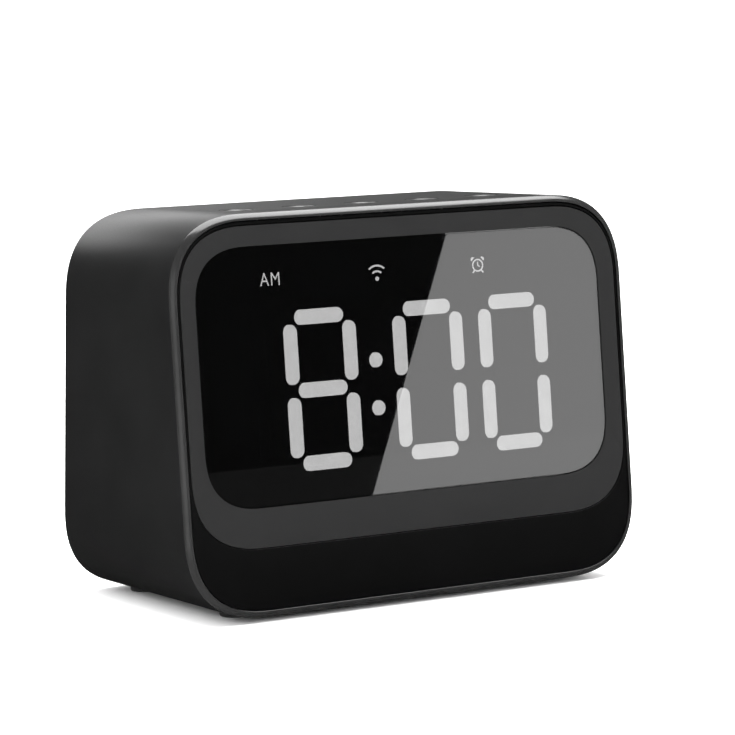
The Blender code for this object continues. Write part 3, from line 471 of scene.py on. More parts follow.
class Bench:
    """A material on the bench, with short ways to add its nodes.

    Noise stays mostly between its low end and its high end.
    """

    low_end: float = 0.3
    high_end: float = 0.7

    def __init__(self, name: str) -> None:
        """Starts a material whose shader is ready.

        Args:
            name: Name of the material.
        """
        self.material = bpy.data.materials.new(name)
        self.material.use_nodes = True
        self.nodes = self.material.node_tree.nodes
        self.links = self.material.node_tree.links
        self.shader = self.nodes["Principled BSDF"]
        self.surface = self.nodes.new("ShaderNodeTexCoord").outputs["Object"]

    def set(self, **values: float | Sequence[float]) -> None:
        """Sets shader sockets, with _ for each space in a socket's name."""
        for name, value in values.items():
            self.shader.inputs[name.replace("_", " ")].default_value = value

    def noise(
        self, size: float, detail: float = 3.0, stretch: Place = (1.0, 1.0, 1.0)
    ) -> bpy.types.NodeSocket:
        """Noise over the surface.

        Args:
            size: Size of its features in metres.
            detail: How many finer layers it holds.
            stretch: How much tighter it is along X, Y and Z.

        Returns:
            The noise as a socket from 0 to 1.
        """
        mapping = self.nodes.new("ShaderNodeMapping")
        mapping.inputs["Scale"].default_value = stretch
        self.links.new(self.surface, mapping.inputs["Vector"])
        made = self.nodes.new("ShaderNodeTexNoise")
        made.inputs["Scale"].default_value = 1.0 / size
        made.inputs["Detail"].default_value = detail
        self.links.new(mapping.outputs["Vector"], made.inputs["Vector"])
        return made.outputs["Fac"]

    def cells(self, size: float) -> bpy.types.NodeSocket:
        """Distance to the nearest of many scattered points, for pebbled grain.

        Args:
            size: Usual distance between the points in metres.

        Returns:
            The distance as a socket.
        """
        made = self.nodes.new("ShaderNodeTexVoronoi")
        made.inputs["Scale"].default_value = 1.0 / size
        self.links.new(self.surface, made.inputs["Vector"])
        return made.outputs["Distance"]

    def bands(self, size: float, direction: str = "Z") -> bpy.types.NodeSocket:
        """Even bands along one direction.

        Args:
            size: Width of a band in metres.
            direction: X, Y or Z.

        Returns:
            The bands as a socket from 0 to 1.
        """
        made = self.nodes.new("ShaderNodeTexWave")
        made.bands_direction = direction
        made.inputs["Scale"].default_value = WAVE_LENGTH / size
        made.inputs["Distortion"].default_value = 0.4
        self.links.new(self.surface, made.inputs["Vector"])
        return made.outputs["Fac"]

    def blend(self, factor: bpy.types.NodeSocket, first: Colour, second: Colour) -> bpy.types.NodeSocket:
        """A colour that runs from the first to the second as the factor rises.

        Args:
            factor: Socket from 0 to 1.
            first: Colour at a low factor.
            second: Colour at a high factor.

        Returns:
            The colour as a socket.
        """
        ramp = self.nodes.new("ShaderNodeValToRGB")
        ramp.color_ramp.elements[0].position = self.low_end
        ramp.color_ramp.elements[1].position = self.high_end
        ramp.color_ramp.elements[0].color = (*first, 1.0)
        ramp.color_ramp.elements[1].color = (*second, 1.0)
        self.links.new(factor, ramp.inputs["Fac"])
        return ramp.outputs["Color"]

    def between(self, factor: bpy.types.NodeSocket, low: float, high: float) -> bpy.types.NodeSocket:
        """A number that runs from low to high as the factor rises.

        Args:
            factor: Socket from 0 to 1.
            low: Number at a low factor.
            high: Number at a high factor.

        Returns:
            The number as a socket.
        """
        span = self.nodes.new("ShaderNodeMapRange")
        span.inputs["From Min"].default_value = self.low_end
        span.inputs["From Max"].default_value = self.high_end
        span.inputs["To Min"].default_value = low
        span.inputs["To Max"].default_value = high
        self.links.new(factor, span.inputs["Value"])
        return span.outputs["Result"]

    def feed(self, source: bpy.types.NodeSocket, socket: str) -> None:
        """Leads a socket into the shader."""
        self.links.new(source, self.shader.inputs[socket])

    def bump(self, height: bpy.types.NodeSocket, depth: float, strength: float = 1.0) -> None:
        """Raises the surface by a height, on top of what raises it already.

        Args:
            height: Socket from 0 to 1.
            depth: Rise at a height of 1 in metres.
            strength: Share of the rise that shows.
        """
        made = self.nodes.new("ShaderNodeBump")
        made.inputs["Strength"].default_value = strength
        made.inputs["Distance"].default_value = depth
        self.links.new(height, made.inputs["Height"])
        previous = self.shader.inputs["Normal"]
        if previous.is_linked:
            self.links.new(previous.links[0].from_socket, made.inputs["Normal"])
        self.links.new(made.outputs["Normal"], previous)


@dataclass(frozen=True)
class MouldedPlastic:
    """Moulded plastic with spark-eroded grain and faint unevenness of colour and gloss."""

    name: str
    colour: Colour
    roughness: float
    grain: float = 0.35 * MM
    grain_depth: float = 0.006 * MM
    unevenness: float = 0.12
    gloss: float = 0.5

    def build(self) -> bpy.types.Material:
        """Makes the material.

        Returns:
            The new material.
        """
        bench = Bench(self.name)
        broad = bench.noise(14.0 * MM, 4.0)
        darker = tuple(c * (1.0 - self.unevenness) for c in self.colour)
        lighter = tuple(c * (1.0 + self.unevenness) for c in self.colour)
        bench.feed(bench.blend(broad, darker, lighter), "Base Color")
        fine = bench.noise(self.grain, 2.0)
        bench.feed(bench.between(fine, self.roughness * 0.92, self.roughness * 1.08), "Roughness")
        bench.bump(bench.cells(self.grain * 1.6), self.grain_depth)
        bench.bump(fine, self.grain_depth * 0.6)
        bench.set(Specular_IOR_Level=self.gloss)
        return bench.material


@dataclass(frozen=True)
class SmokedAcrylic:
    """Dark polished window that lets the lit strokes through."""

    name: str
    tint: Colour = (0.025, 0.025, 0.025)

    def build(self) -> bpy.types.Material:
        """Makes the material.

        Returns:
            The new material.
        """
        bench = Bench(self.name)
        haze = bench.noise(9.0 * MM, 3.0)
        darker = tuple(c * 0.985 for c in self.tint)
        bench.feed(bench.blend(haze, darker, self.tint), "Base Color")
        bench.feed(bench.between(haze, 0.004, 0.012), "Roughness")
        bench.set(Transmission_Weight=1.0, IOR=1.49)
        return bench.material


@dataclass(frozen=True)
class LightGuide:
    """Milky plastic that glows, slightly unevenly in small soft clouds."""

    name: str
    strength: float
    colour: Colour = (1.0, 1.0, 1.0)

    def build(self) -> bpy.types.Material:
        """Makes the material.

        Returns:
            The new material.
        """
        bench = Bench(self.name)
        cloud = bench.noise(2.2 * MM, 2.0)
        dimmer = tuple(c * 0.94 for c in self.colour)
        glow = bench.blend(cloud, dimmer, self.colour)
        bench.feed(glow, "Emission Color")
        bench.feed(bench.blend(cloud, (0.82, 0.82, 0.82), (0.9, 0.9, 0.9)), "Base Color")
        bench.feed(bench.between(cloud, 0.4, 0.5), "Roughness")
        bench.set(Emission_Strength=self.strength)
        return bench.material


@dataclass(frozen=True)
class Metal:
    """Bare or plated metal with fine drawn lines and patchy gloss."""

    name: str
    colour: Colour
    roughness: float
    stretch: Place = (1.0, 1.0, 12.0)

    def build(self) -> bpy.types.Material:
        """Makes the material.

        Returns:
            The new material.
        """
        bench = Bench(self.name)
        lines = bench.noise(0.6 * MM, 3.0, self.stretch)
        patches = bench.noise(5.0 * MM, 3.0)
        darker = tuple(c * 0.82 for c in self.colour)
        bench.feed(bench.blend(patches, darker, self.colour), "Base Color")
        bench.feed(bench.between(lines, self.roughness * 0.8, self.roughness * 1.2), "Roughness")
        bench.bump(lines, 0.002 * MM)
        bench.set(Metallic=1.0)
        return bench.material


@dataclass(frozen=True)
class Rubber:
    """Dull rubber with a chalky bloom and a fine moulded grain."""

    name: str
    colour: Colour
    roughness: float = 0.85

    def build(self) -> bpy.types.Material:
        """Makes the material.

        Returns:
            The new material.
        """
        bench = Bench(self.name)
        bloom = bench.noise(3.0 * MM, 4.0)
        lighter = tuple(c * 1.5 for c in self.colour)
        bench.feed(bench.blend(bloom, self.colour, lighter), "Base Color")
        bench.feed(bench.between(bloom, self.roughness * 0.9, min(1.0, self.roughness * 1.1)), "Roughness")
        bench.bump(bench.noise(0.2 * MM, 2.0), 0.01 * MM)
        return bench.material


@dataclass(frozen=True)
class CircuitBoard:
    """Lacquered board with raised copper tracks under the lacquer."""

    name: str
    colour: Colour = (0.02, 0.12, 0.05)

    def build(self) -> bpy.types.Material:
        """Makes the material.

        Returns:
            The new material.
        """
        bench = Bench(self.name)
        tracks = bench.nodes.new("ShaderNodeTexBrick")
        tracks.inputs["Scale"].default_value = 1.0
        tracks.inputs["Brick Width"].default_value = 7.0 * MM
        tracks.inputs["Row Height"].default_value = 1.4 * MM
        tracks.inputs["Mortar Size"].default_value = 0.28 * MM
        tracks.inputs["Color1"].default_value = (*self.colour, 1.0)
        tracks.inputs["Color2"].default_value = (*(c * 0.8 for c in self.colour), 1.0)
        tracks.inputs["Mortar"].default_value = (*(c * 1.9 for c in self.colour), 1.0)
        bench.links.new(bench.surface, tracks.inputs["Vector"])
        bench.feed(tracks.outputs["Color"], "Base Color")
        bench.feed(bench.between(bench.noise(6.0 * MM), 0.3, 0.42), "Roughness")
        bench.bump(tracks.outputs["Fac"], 0.03 * MM)
        return bench.material


@dataclass(frozen=True)
class Fibre:
    """Pressed paper or stiffened cloth with crossing threads."""

    name: str
    colour: Colour
    thread: float = 0.5 * MM

    def build(self) -> bpy.types.Material:
        """Makes the material.

        Returns:
            The new material.
        """
        bench = Bench(self.name)
        felt = bench.noise(1.2 * MM, 5.0)
        bench.feed(bench.blend(felt, tuple(c * 0.7 for c in self.colour), self.colour), "Base Color")
        bench.bump(bench.bands(self.thread, "X"), 0.03 * MM)
        bench.bump(bench.bands(self.thread, "Z"), 0.03 * MM)
        bench.bump(felt, 0.02 * MM)
        bench.set(Roughness=0.92)
        return bench.material


@dataclass(frozen=True)
class WoundWire:
    """Turns of enamelled wire lying side by side."""

    name: str
    colour: Colour = (0.7, 0.32, 0.14)
    wire: float = 0.2 * MM

    def build(self) -> bpy.types.Material:
        """Makes the material.

        Returns:
            The new material.
        """
        bench = Bench(self.name)
        turns = bench.bands(self.wire, "Y")
        bench.feed(bench.blend(turns, tuple(c * 0.5 for c in self.colour), self.colour), "Base Color")
        bench.feed(bench.between(turns, 0.5, 0.3), "Roughness")
        bench.bump(turns, 0.05 * MM)
        bench.set(Metallic=1.0)
        return bench.material


class Finishes:
    """Every finish of the clock, by the material slot that it serves."""

    def __init__(self) -> None:
        """Makes each finish once."""
        kinds = [
            MouldedPlastic("case_black", (0.009, 0.009, 0.0091), 0.37, 0.3 * MM, 0.003 * MM, gloss=0.38),
            MouldedPlastic("panel_black", (0.0024, 0.0024, 0.0025), 0.5, 0.25 * MM, 0.002 * MM, gloss=0.2),
            MouldedPlastic("surround_grey", (0.0165, 0.0165, 0.0166), 0.6, 0.25 * MM, 0.002 * MM, 0.04, 0.1),
            MouldedPlastic("mask_black", (0.003, 0.003, 0.003), 0.9, 0.6 * MM, 0.0008 * MM, gloss=0.0),
            MouldedPlastic("button_black", (0.012, 0.012, 0.0123), 0.36, 0.3 * MM, 0.003 * MM),
            MouldedPlastic("switch_black", (0.02, 0.02, 0.02), 0.5),
            MouldedPlastic("holder_black", (0.02, 0.02, 0.02), 0.6),
            MouldedPlastic("chip_black", (0.015, 0.015, 0.015), 0.5, 0.15 * MM),
            MouldedPlastic("reflector_white", (0.85, 0.85, 0.83), 0.55, 0.4 * MM, 0.004 * MM, 0.03),
            MouldedPlastic("ribbon_white", (0.8, 0.8, 0.78), 0.5, 0.5 * MM, 0.01 * MM, 0.05),
            MouldedPlastic("cell_wrap", (0.02, 0.18, 0.42), 0.3, 0.8 * MM, 0.004 * MM, 0.08),
            MouldedPlastic("ferrite", (0.05, 0.05, 0.055), 0.7, 0.2 * MM, 0.02 * MM, 0.25),
            MouldedPlastic("grille_black", (0.015, 0.015, 0.015), 0.45, 0.12 * MM, 0.006 * MM),
            MouldedPlastic("lead_red", (0.5, 0.02, 0.02), 0.4, 0.3 * MM, 0.01 * MM),
            MouldedPlastic("lead_black", (0.015, 0.015, 0.015), 0.4, 0.3 * MM, 0.01 * MM),
            SmokedAcrylic("smoked_acrylic"),
            LightGuide("milky_diffuser", 0.0),
            Metal("zinc_steel", (0.55, 0.56, 0.58), 0.35),
            Metal("shield_tin", (0.62, 0.62, 0.6), 0.4),
            Metal("screw_steel", (0.05, 0.05, 0.052), 0.38),
            Rubber("foot_rubber", (0.018, 0.018, 0.018)),
            Rubber("speaker_rubber", (0.02, 0.02, 0.02), 0.75),
            CircuitBoard("board_green"),
            Fibre("cone_paper", (0.03, 0.03, 0.03)),
            Fibre("spider_cloth", (0.45, 0.25, 0.08), 0.35 * MM),
            WoundWire("coil_copper"),
        ]
        self.by_slot = {kind.name: kind.build() for kind in kinds}

    def dress(self, piece: bpy.types.Object, slot: str) -> None:
        """Gives a piece the finish of a slot.

        Args:
            piece: The piece or frame node.
            slot: Name of the material slot.
        """
        piece.data.materials.clear()
        piece.data.materials.append(self.by_slot[slot])


# ------------------------------------------------------------------------ the clock


@dataclass
class Assembly:
    """What every sub-assembly shares: the finishes and how a piece joins the clock."""

    finishes: Finishes

    def join(
        self,
        piece: bpy.types.Object,
        slot: str,
        stands_for: Sequence[str] = (),
        body: str = "case",
        finish: bpy.types.Material | None = None,
    ) -> bpy.types.Object:
        """Finishes a piece and makes it ride on a body.

        Args:
            piece: The new piece.
            slot: Material slot of the record that it takes its finish from.
            stands_for: Frame nodes that it stands for.
            body: Body that it rides on.
            finish: A finish other than the slot's own.

        Returns:
            The same piece.
        """
        if finish is None:
            self.finishes.dress(piece, slot)
        else:
            piece.data.materials.append(finish)
        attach(piece, body)
        if stands_for:
            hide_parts(*stands_for)
        LOG.info("%s rides on %s with %d faces", piece.name, body, len(piece.data.polygons))
        return piece


@dataclass
class CaseSizes:
    """Sizes of the case that its other sub-assemblies are set out from."""

    width: float = 120.0 * MM
    height: float = 90.3 * MM
    base_depth: float = 69.4 * MM
    front_lean: float = math.radians(3.33)
    back_lean: float = math.radians(6.3)
    corner: float = 20.7 * MM
    wall: float = 1.5 * MM
    front_round: float = 1.2 * MM
    back_round: float = 2.8 * MM
    cover_inset: float = 3.6 * MM
    cover_thick: float = 2.0 * MM
    gap: float = 0.3 * MM
    fit: float = 0.2 * MM
    y: float = field(init=False)
    z: float = field(init=False)

    def __post_init__(self) -> None:
        """Reads where the case stands from the frame."""
        low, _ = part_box("housing_sleeve")
        self.y = low.y - self.front_round * math.tan(self.front_lean)
        self.z = low.z

    @property
    def front(self) -> LeaningAxes:
        """Axes of the leaning front."""
        return LeaningAxes(self.y, self.z, self.front_lean, 1)

    @property
    def back(self) -> LeaningAxes:
        """Axes of the leaning back."""
        return LeaningAxes(self.y + self.base_depth, self.z, self.back_lean, -1)

    @property
    def front_height(self) -> float:
        """Height of the case along its leaning front."""
        return self.height / math.cos(self.front_lean)

    @property
    def back_height(self) -> float:
        """Height of the case along its leaning back."""
        return self.height / math.cos(self.back_lean)


@dataclass
class CaseShell(Assembly):
    """The moulded sleeve: a rounded tube with soft rims, button holes and foot seats."""

    sizes: CaseSizes
    button_places: Sequence[Point] = ()
    foot_places: Sequence[Point] = ()
    button_hole: float = 4.1 * MM
    foot_seat: float = 4.3 * MM
    foot_seat_depth: float = 0.6 * MM
    rim_flatness: float = 1.6
    back_margin: float = 0.03 * MM
    ledge_width: float = 1.6 * MM
    ledge_thick: float = 1.4 * MM
    ledge_reach: float = 4.5 * MM

    def ring(self, inset: float, depth: float, from_back: bool) -> list[Vector]:
        """One outline of the sleeve.

        Args:
            inset: Distance in from the outer surface.
            depth: Distance in from the leaning front or back plane.
            from_back: True if the depth is measured from the back.

        Returns:
            The outline's places.
        """
        s = self.sizes
        points = rounded_rectangle(
            s.width - 2 * inset, s.height - 2 * inset, s.corner - inset, s.height / 2, steps=28
        )
        ring = []
        for x, z in points:
            if from_back:
                y = s.base_depth - z * math.tan(s.back_lean) - depth
            else:
                y = z * math.tan(s.front_lean) + depth
            ring.append(Vector((x, s.y + y, s.z + z)))
        return ring

    def rings(self) -> list[list[Vector]]:
        """The sleeve's outlines, from the inner front edge out, back and in again.

        Returns:
            The outlines in order.
        """
        s = self.sizes
        lip = 0.04 * MM
        rings = [self.ring(s.wall, lip, False), self.ring(s.wall - lip, 0.0, False)]
        for step in range(13):
            turn = math.pi / 2 * step / 12
            inset = s.front_round * (1 - math.sin(turn) ** self.rim_flatness)
            depth = s.front_round * (1 - math.cos(turn) ** self.rim_flatness)
            rings.append(self.ring(inset, depth, False))
        for step in range(11):
            turn = math.pi / 2 * step / 10
            inset = s.back_round * (1 - math.cos(turn))
            rings.append(self.ring(inset, s.back_round * (1 - math.sin(turn)) + self.back_margin, True))
        seat = s.cover_inset - s.gap
        depth = s.cover_thick + 2 * s.gap
        rings.append(self.ring(seat, 0.0, True))
        rings.append(self.ring(seat, depth, True))
        rings.append(self.ring(s.cover_inset + self.ledge_width, depth, True))
        rings.append(self.ring(s.cover_inset + self.ledge_width, depth + self.ledge_thick, True))
        rings.append(self.ring(s.wall, depth + self.ledge_reach, True))
        return rings

    def upright(self, radius: float, x: float, y: float, low: float, high: float) -> Fill:
        """An upright round cutting shape.

        Args:
            radius: Its radius.
            x: Middle across the case.
            y: Middle behind the case's front edge.
            low: Lower end above the case's base.
            high: Upper end above the case's base.

        Returns:
            A function that adds its faces.
        """
        s = self.sizes
        placing = Matrix.Translation((x, s.y + y, s.z))
        profile = [(0.0, low), (radius, low), (radius, high), (0.0, high)]
        return Maker.turned_fill(profile, placing, 48)

    def build(self) -> None:
        """Makes the sleeve and cuts its holes."""
        s = self.sizes
        shell = Maker.mesh("case_shell", Maker.frame_fill(self.rings()), Shading.CRISP)
        holes = []
        for x, y in self.button_places:
            holes.append(self.upright(self.button_hole, x, y, s.height - 3 * MM, s.height + MM))
        for x, y in self.foot_places:
            holes.append(self.upright(self.foot_seat, x, y, -MM, self.foot_seat_depth))
        Maker.cut(shell, Maker.several(*holes), Shading.CRISP)
        self.join(shell, "case_black", ["housing_sleeve"])
        self.polish_and_light_rim(shell)

    def polish_and_light_rim(self, shell: bpy.types.Object) -> None:
        """Gives the front rim the smoother surface that its polished mould leaves, and a lighter black than
        the case: a painted highlight along the rim.

        Args:
            shell: The finished sleeve.
        """
        s = self.sizes
        # The rim's colour is a lighter copy of the case black: painted highlight on the rim faces, on top of
        # the lower roughness.
        polished_lit_rim = MouldedPlastic("rim_black_lit", (0.02, 0.02, 0.02), 0.2, grain_depth=0.0008 * MM)
        shell.data.materials.append(polished_lit_rim.build())
        for face in shell.data.polygons:
            behind = face.center.y - s.y - (face.center.z - s.z) * math.tan(s.front_lean)
            if behind < s.front_round + 0.05 * MM:
                face.material_index = 1


@dataclass
class Fascia(Assembly):
    """Front panel, grey surround and smoked window, stacked into the leaning front."""

    sizes: CaseSizes
    window_width: float = 107.2 * MM
    window_height: float = 58.7 * MM
    window_corner: float = 14.2 * MM
    window_middle: float = 53.8 * MM
    surround_width: float = 115.4 * MM
    surround_height: float = 72.2 * MM
    surround_corner: float = 17.9 * MM
    surround_middle: float = 51.7 * MM
    surround_back: float = 1.5 * MM
    slope: float = 0.9 * MM
    panel_inset: float = 1.7 * MM
    panel_front: float = 0.2 * MM
    panel_back: float = 4.6 * MM
    lens_lip: float = 1.5 * MM
    lens_thick: float = 0.8 * MM

    @property
    def lens_face(self) -> float:
        """Depth of the raised face that fills the surround's opening."""
        return self.slope + self.sizes.fit

    @property
    def lens_front(self) -> float:
        """Depth of the front of the window's flange."""
        return self.surround_back + self.sizes.gap

    def window(self, grow: float = 0.0) -> list[Point]:
        """Outline of the window, grown all round by a distance."""
        return rounded_rectangle(
            self.window_width + 2 * grow,
            self.window_height + 2 * grow,
            self.window_corner + grow,
            self.window_middle,
        )

    def surround(self, grow: float = 0.0) -> list[Point]:
        """Outer outline of the surround, grown all round by a distance."""
        return rounded_rectangle(
            self.surround_width + 2 * grow,
            self.surround_height + 2 * grow,
            self.surround_corner + grow,
            self.surround_middle,
        )

    def panel_edge(self, inset: float) -> list[Point]:
        """Outer outline of the front panel."""
        s = self.sizes
        return rounded_rectangle(
            s.width - 2 * inset, s.front_height - 2 * inset, s.corner - inset, s.front_height / 2
        )

    def build(self) -> None:
        """Makes the panel, the surround and the window."""
        s, ring = self.sizes, self.sizes.front.ring
        floor = self.surround_back + s.fit
        opening = self.window(self.lens_lip + s.fit)
        round_over = 0.12 * MM
        panel = [
            ring(self.panel_edge(self.panel_inset), self.panel_front + round_over),
            ring(self.panel_edge(self.panel_inset + 0.4 * round_over), self.panel_front + 0.3 * round_over),
            ring(self.panel_edge(self.panel_inset + round_over), self.panel_front),
            ring(self.surround(s.fit + 0.06 * MM), self.panel_front),
            ring(self.surround(s.fit), self.panel_front + 0.06 * MM),
            ring(self.surround(s.fit), floor),
            ring(opening, floor),
            ring(opening, self.panel_back),
            ring(self.panel_edge(self.panel_inset + 0.4 * MM), self.panel_back),
        ]
        made = Maker.mesh("front_fascia", Maker.frame_fill(panel), Shading.CRISP)
        self.join(made, "panel_black", ["front_panel"])

        outer = 0.2 * MM
        collar = [
            ring(self.surround(), outer + 0.15 * MM),
            ring(self.surround(-0.05 * MM), outer + 0.04 * MM),
            ring(self.surround(-0.16 * MM), outer),
            ring(self.window(0.14 * MM), self.slope - 0.03 * MM),
            ring(self.window(0.04 * MM), self.slope + 0.02 * MM),
            ring(self.window(), self.slope + 0.14 * MM),
            ring(self.window(), self.surround_back),
            ring(self.surround(), self.surround_back),
        ]
        made = Maker.mesh("window_surround", Maker.frame_fill(collar), Shading.CRISP)
        self.join(made, "surround_grey", ["display_surround"])

        edge = self.window(self.lens_lip)
        front, back = self.lens_front, self.lens_front + self.lens_thick
        pane = [
            ring(self.window(-s.fit - 0.08 * MM), self.lens_face),
            ring(self.window(-s.fit), self.lens_face + 0.08 * MM),
            ring(self.window(-s.fit), front),
            ring(edge, front),
            ring(edge, back),
        ]
        made = Maker.mesh("smoked_window", Maker.plate_fill(pane), Shading.CRISP)
        self.join(made, "smoked_acrylic", ["display_lens"])


@dataclass
class Digits(Assembly):
    """Stroke mask, light guides of the three digits, colon and signs."""

    sizes: CaseSizes
    fascia: Fascia
    digit_middles: tuple[float, ...] = (-21.8 * MM, 6.7 * MM, 29.9 * MM)
    leading_one: float = -45.0 * MM
    middle: float = 49.8 * MM
    half_width: float = 7.65 * MM
    half_height: float = 16.57 * MM
    stroke: float = 3.4 * MM
    upright_length: float = 13.6 * MM
    level_length: float = 12.6 * MM
    colon: float = -7.6 * MM
    colon_rise: float = 5.5 * MM
    sign_height: float = 75.3 * MM
    sign_middles: tuple[float, ...] = (-33.8 * MM, -6.1 * MM, 21.1 * MM)
    mask_thick: float = 0.8 * MM
    guide_thick: float = 0.8 * MM
    pad_round: float = 0.08 * MM
    brightness: float = 21.0

    @property
    def mask_front(self) -> float:
        """Depth of the mask's front face."""
        return self.fascia.lens_front + self.fascia.lens_thick + self.sizes.fit

    def stroke_at(self, digit: float, stroke: Stroke, grow: float = 0.0) -> list[Point]:
        """Outline of one stroke of a digit.

        Args:
            digit: Middle of the digit across the case.
            stroke: Which stroke.
            grow: Distance that it is grown all round.

        Returns:
            The outline's points.
        """
        side, level, upright = stroke.value
        place = (digit + side * self.half_width, self.middle + level * self.half_height / 2)
        length = self.upright_length if upright else self.level_length
        return stroke_outline(place, length + 2 * grow, self.stroke + 2 * grow, upright)

    def dots(self, grow: float = 0.0) -> list[list[Point]]:
        """Outlines of the colon's two dots."""
        levels = (self.middle - self.colon_rise, self.middle + self.colon_rise)
        return [ring_outline((self.colon, level), self.stroke / 2 + grow, 32) for level in levels]

    def pads(
        self, name: str, outlines: Sequence[Sequence[Point]], finish: bpy.types.Material
    ) -> bpy.types.Object:
        """Light-guide pads that fill the mask's openings, with softly rounded faces.

        Args:
            name: Name of the piece.
            outlines: One outline for each pad.
            finish: Their finish.

        Returns:
            The new piece.
        """
        ring = self.sizes.front.ring
        front = self.mask_front + 0.05 * MM
        back = self.mask_front + self.mask_thick + self.sizes.fit
        fills = []
        for outline in outlines:
            middle = Vector((sum(p[0] for p in outline), sum(p[1] for p in outline))) / len(outline)
            inner = []
            for across, up in outline:
                pull = (middle - Vector((across, up))).normalized() * self.pad_round
                inner.append((across + pull.x, up + pull.y))
            rings = [ring(inner, front), ring(outline, front + self.pad_round), ring(outline, back)]
            fills.append(Maker.plate_fill(rings))
        made = Maker.mesh(name, Maker.several(*fills), Shading.CRISP)
        return self.join(made, "milky_diffuser", finish=finish)

    def build(self) -> None:
        """Makes the mask, the guide plate behind it and every pad."""
        lit = LightGuide("lit_stroke", self.brightness).build()
        unlit = MouldedPlastic(
            "unlit_stroke", (0.0035, 0.0035, 0.0035), 0.9, 0.6 * MM, 0.0008 * MM, gloss=0.0
        )
        dim = unlit.build()
        hours, tens, units = self.digit_middles
        everywhere = tuple(Stroke)
        zero = tuple(stroke for stroke in Stroke if stroke is not Stroke.MIDDLE)
        right_side = (Stroke.UPPER_RIGHT, Stroke.LOWER_RIGHT)

        fit = self.sizes.fit
        holes = []
        for digit in self.digit_middles:
            holes += [self.stroke_at(digit, stroke, fit) for stroke in everywhere]
        holes += [self.stroke_at(self.leading_one, stroke, fit) for stroke in right_side]
        holes += self.dots(fit)
        depth = self.mask_front + self.mask_thick / 2
        edge = self.fascia.window(self.fascia.lens_lip)
        mask = Maker.pierced_plate(
            "stroke_mask", [edge, *holes], self.mask_thick, self.sizes.front.matrix(0.0, depth, 0.0)
        )
        self.join(mask, "mask_black", ["segment_mask"])

        depth = self.mask_front + self.mask_thick + fit
        ring = self.sizes.front.ring
        window = self.fascia.window()
        sheet = [ring(window, depth), ring(window, depth + self.guide_thick)]
        guide = Maker.mesh("light_guide", Maker.plate_fill(sheet), Shading.CRISP)
        self.join(guide, "milky_diffuser", ["light_diffuser"], finish=dim)

        self.pads("digit_hours", [self.stroke_at(hours, stroke) for stroke in everywhere], lit)
        self.pads("digit_tens", [self.stroke_at(tens, stroke) for stroke in zero], lit)
        self.pads("digit_units", [self.stroke_at(units, stroke) for stroke in zero], lit)
        self.pads("colon_dots", self.dots(), lit)
        dark = [self.stroke_at(digit, Stroke.MIDDLE) for digit in (tens, units)]
        dark += [self.stroke_at(self.leading_one, stroke) for stroke in right_side]
        self.pads("unlit_strokes", dark, dim)
        self.signs(lit)

    def signs(self, lit: bpy.types.Material) -> None:
        """Makes the three small signs above the digits.

        Args:
            lit: Finish of a lit pad.
        """
        depth = self.mask_front - 0.06 * MM
        kinds = (
            ("sign_morning", Lettering("AM", 3.05 * MM, 0.8)),
            ("sign_wireless", WirelessSign()),
            ("sign_alarm", AlarmSign()),
        )
        for across, (name, sign) in zip(self.sign_middles, kinds):
            placing = self.sizes.front.matrix(across, depth, self.sign_height)
            self.join(sign.build(name, placing), "milky_diffuser", finish=lit)


@dataclass(frozen=True)
class Lettering:
    """A short word in thin flat letters."""

    word: str
    height: float
    narrowing: float
    thick: float = 0.04 * MM
    capital_share: float = 0.70

    def build(self, name: str, placing: Matrix) -> bpy.types.Object:
        """Makes the letters, centred on the placing.

        Args:
            name: Name of the piece.
            placing: Middle of the word, with +Z out of its face.

        Returns:
            The new object.
        """
        text = bpy.data.curves.new(name, "FONT")
        text.body = self.word
        text.size = self.height / self.capital_share
        text.align_x = "CENTER"
        text.align_y = "CENTER"
        text.space_character = 1.15
        text.extrude = self.thick / 2
        text.resolution_u = 4
        text.offset = -0.03 * MM
        made = bpy.data.objects.new(name, text)
        bpy.context.scene.collection.objects.link(made)
        bpy.context.view_layer.update()
        graph = bpy.context.evaluated_depsgraph_get()
        data = bpy.data.meshes.new_from_object(made.evaluated_get(graph))
        bpy.data.objects.remove(made)
        data.transform(placing @ Matrix.Diagonal((self.narrowing, 1.0, 1.0, 1.0)))
        return Maker.link(name, data, Shading.CRISP)


def band(inner: Sequence[Point], outer: Sequence[Point], placing: Matrix, thick: float) -> Fill:
    """Faces of a flat band between two open rows of points.

    Args:
        inner: One side of the band.
        outer: The other side, with as many points.
        placing: Its plane, with +Z out of its face.
        thick: Its thickness.

    Returns:
        A function that adds the faces.
    """
    outline = list(inner) + list(reversed(outer))

    def fill(working: bmesh.types.BMesh) -> None:
        """Adds the band's two faces and its edge.

        Args:
            working: The mesh being filled.
        """
        rows = []
        for level in (thick / 2, -thick / 2):
            rows.append([working.verts.new(placing @ Vector((x, y, level))) for x, y in outline])
        count = len(inner)
        for row in rows:
            for k in range(count - 1):
                working.faces.new((row[k], row[k + 1], row[-k - 2], row[-k - 1]))
        for k in range(len(outline)):
            after = (k + 1) % len(outline)
            working.faces.new((rows[0][k], rows[0][after], rows[1][after], rows[1][k]))

    return fill


def arc(middle: Point, radius: float, start: float, end: float, steps: int = 16) -> list[Point]:
    """Points along part of a circle, with the angles in degrees."""
    turns = (math.radians(start + (end - start) * step / steps) for step in range(steps + 1))
    return [(middle[0] + radius * math.cos(t), middle[1] + radius * math.sin(t)) for t in turns]


def bar(start: Point, end: Point, width: float) -> tuple[list[Point], list[Point]]:
    """The two sides of a straight bar between two points.

    Args:
        start: One end of its middle line.
        end: The other end.
        width: Its width.

    Returns:
        Its left side and its right side, as two points each.
    """
    along = Vector((end[0] - start[0], end[1] - start[1])).normalized() * width / 2
    left = [(start[0] - along.y, start[1] + along.x), (end[0] - along.y, end[1] + along.x)]
    right = [(start[0] + along.y, start[1] - along.x), (end[0] + along.y, end[1] - along.x)]
    return left, right


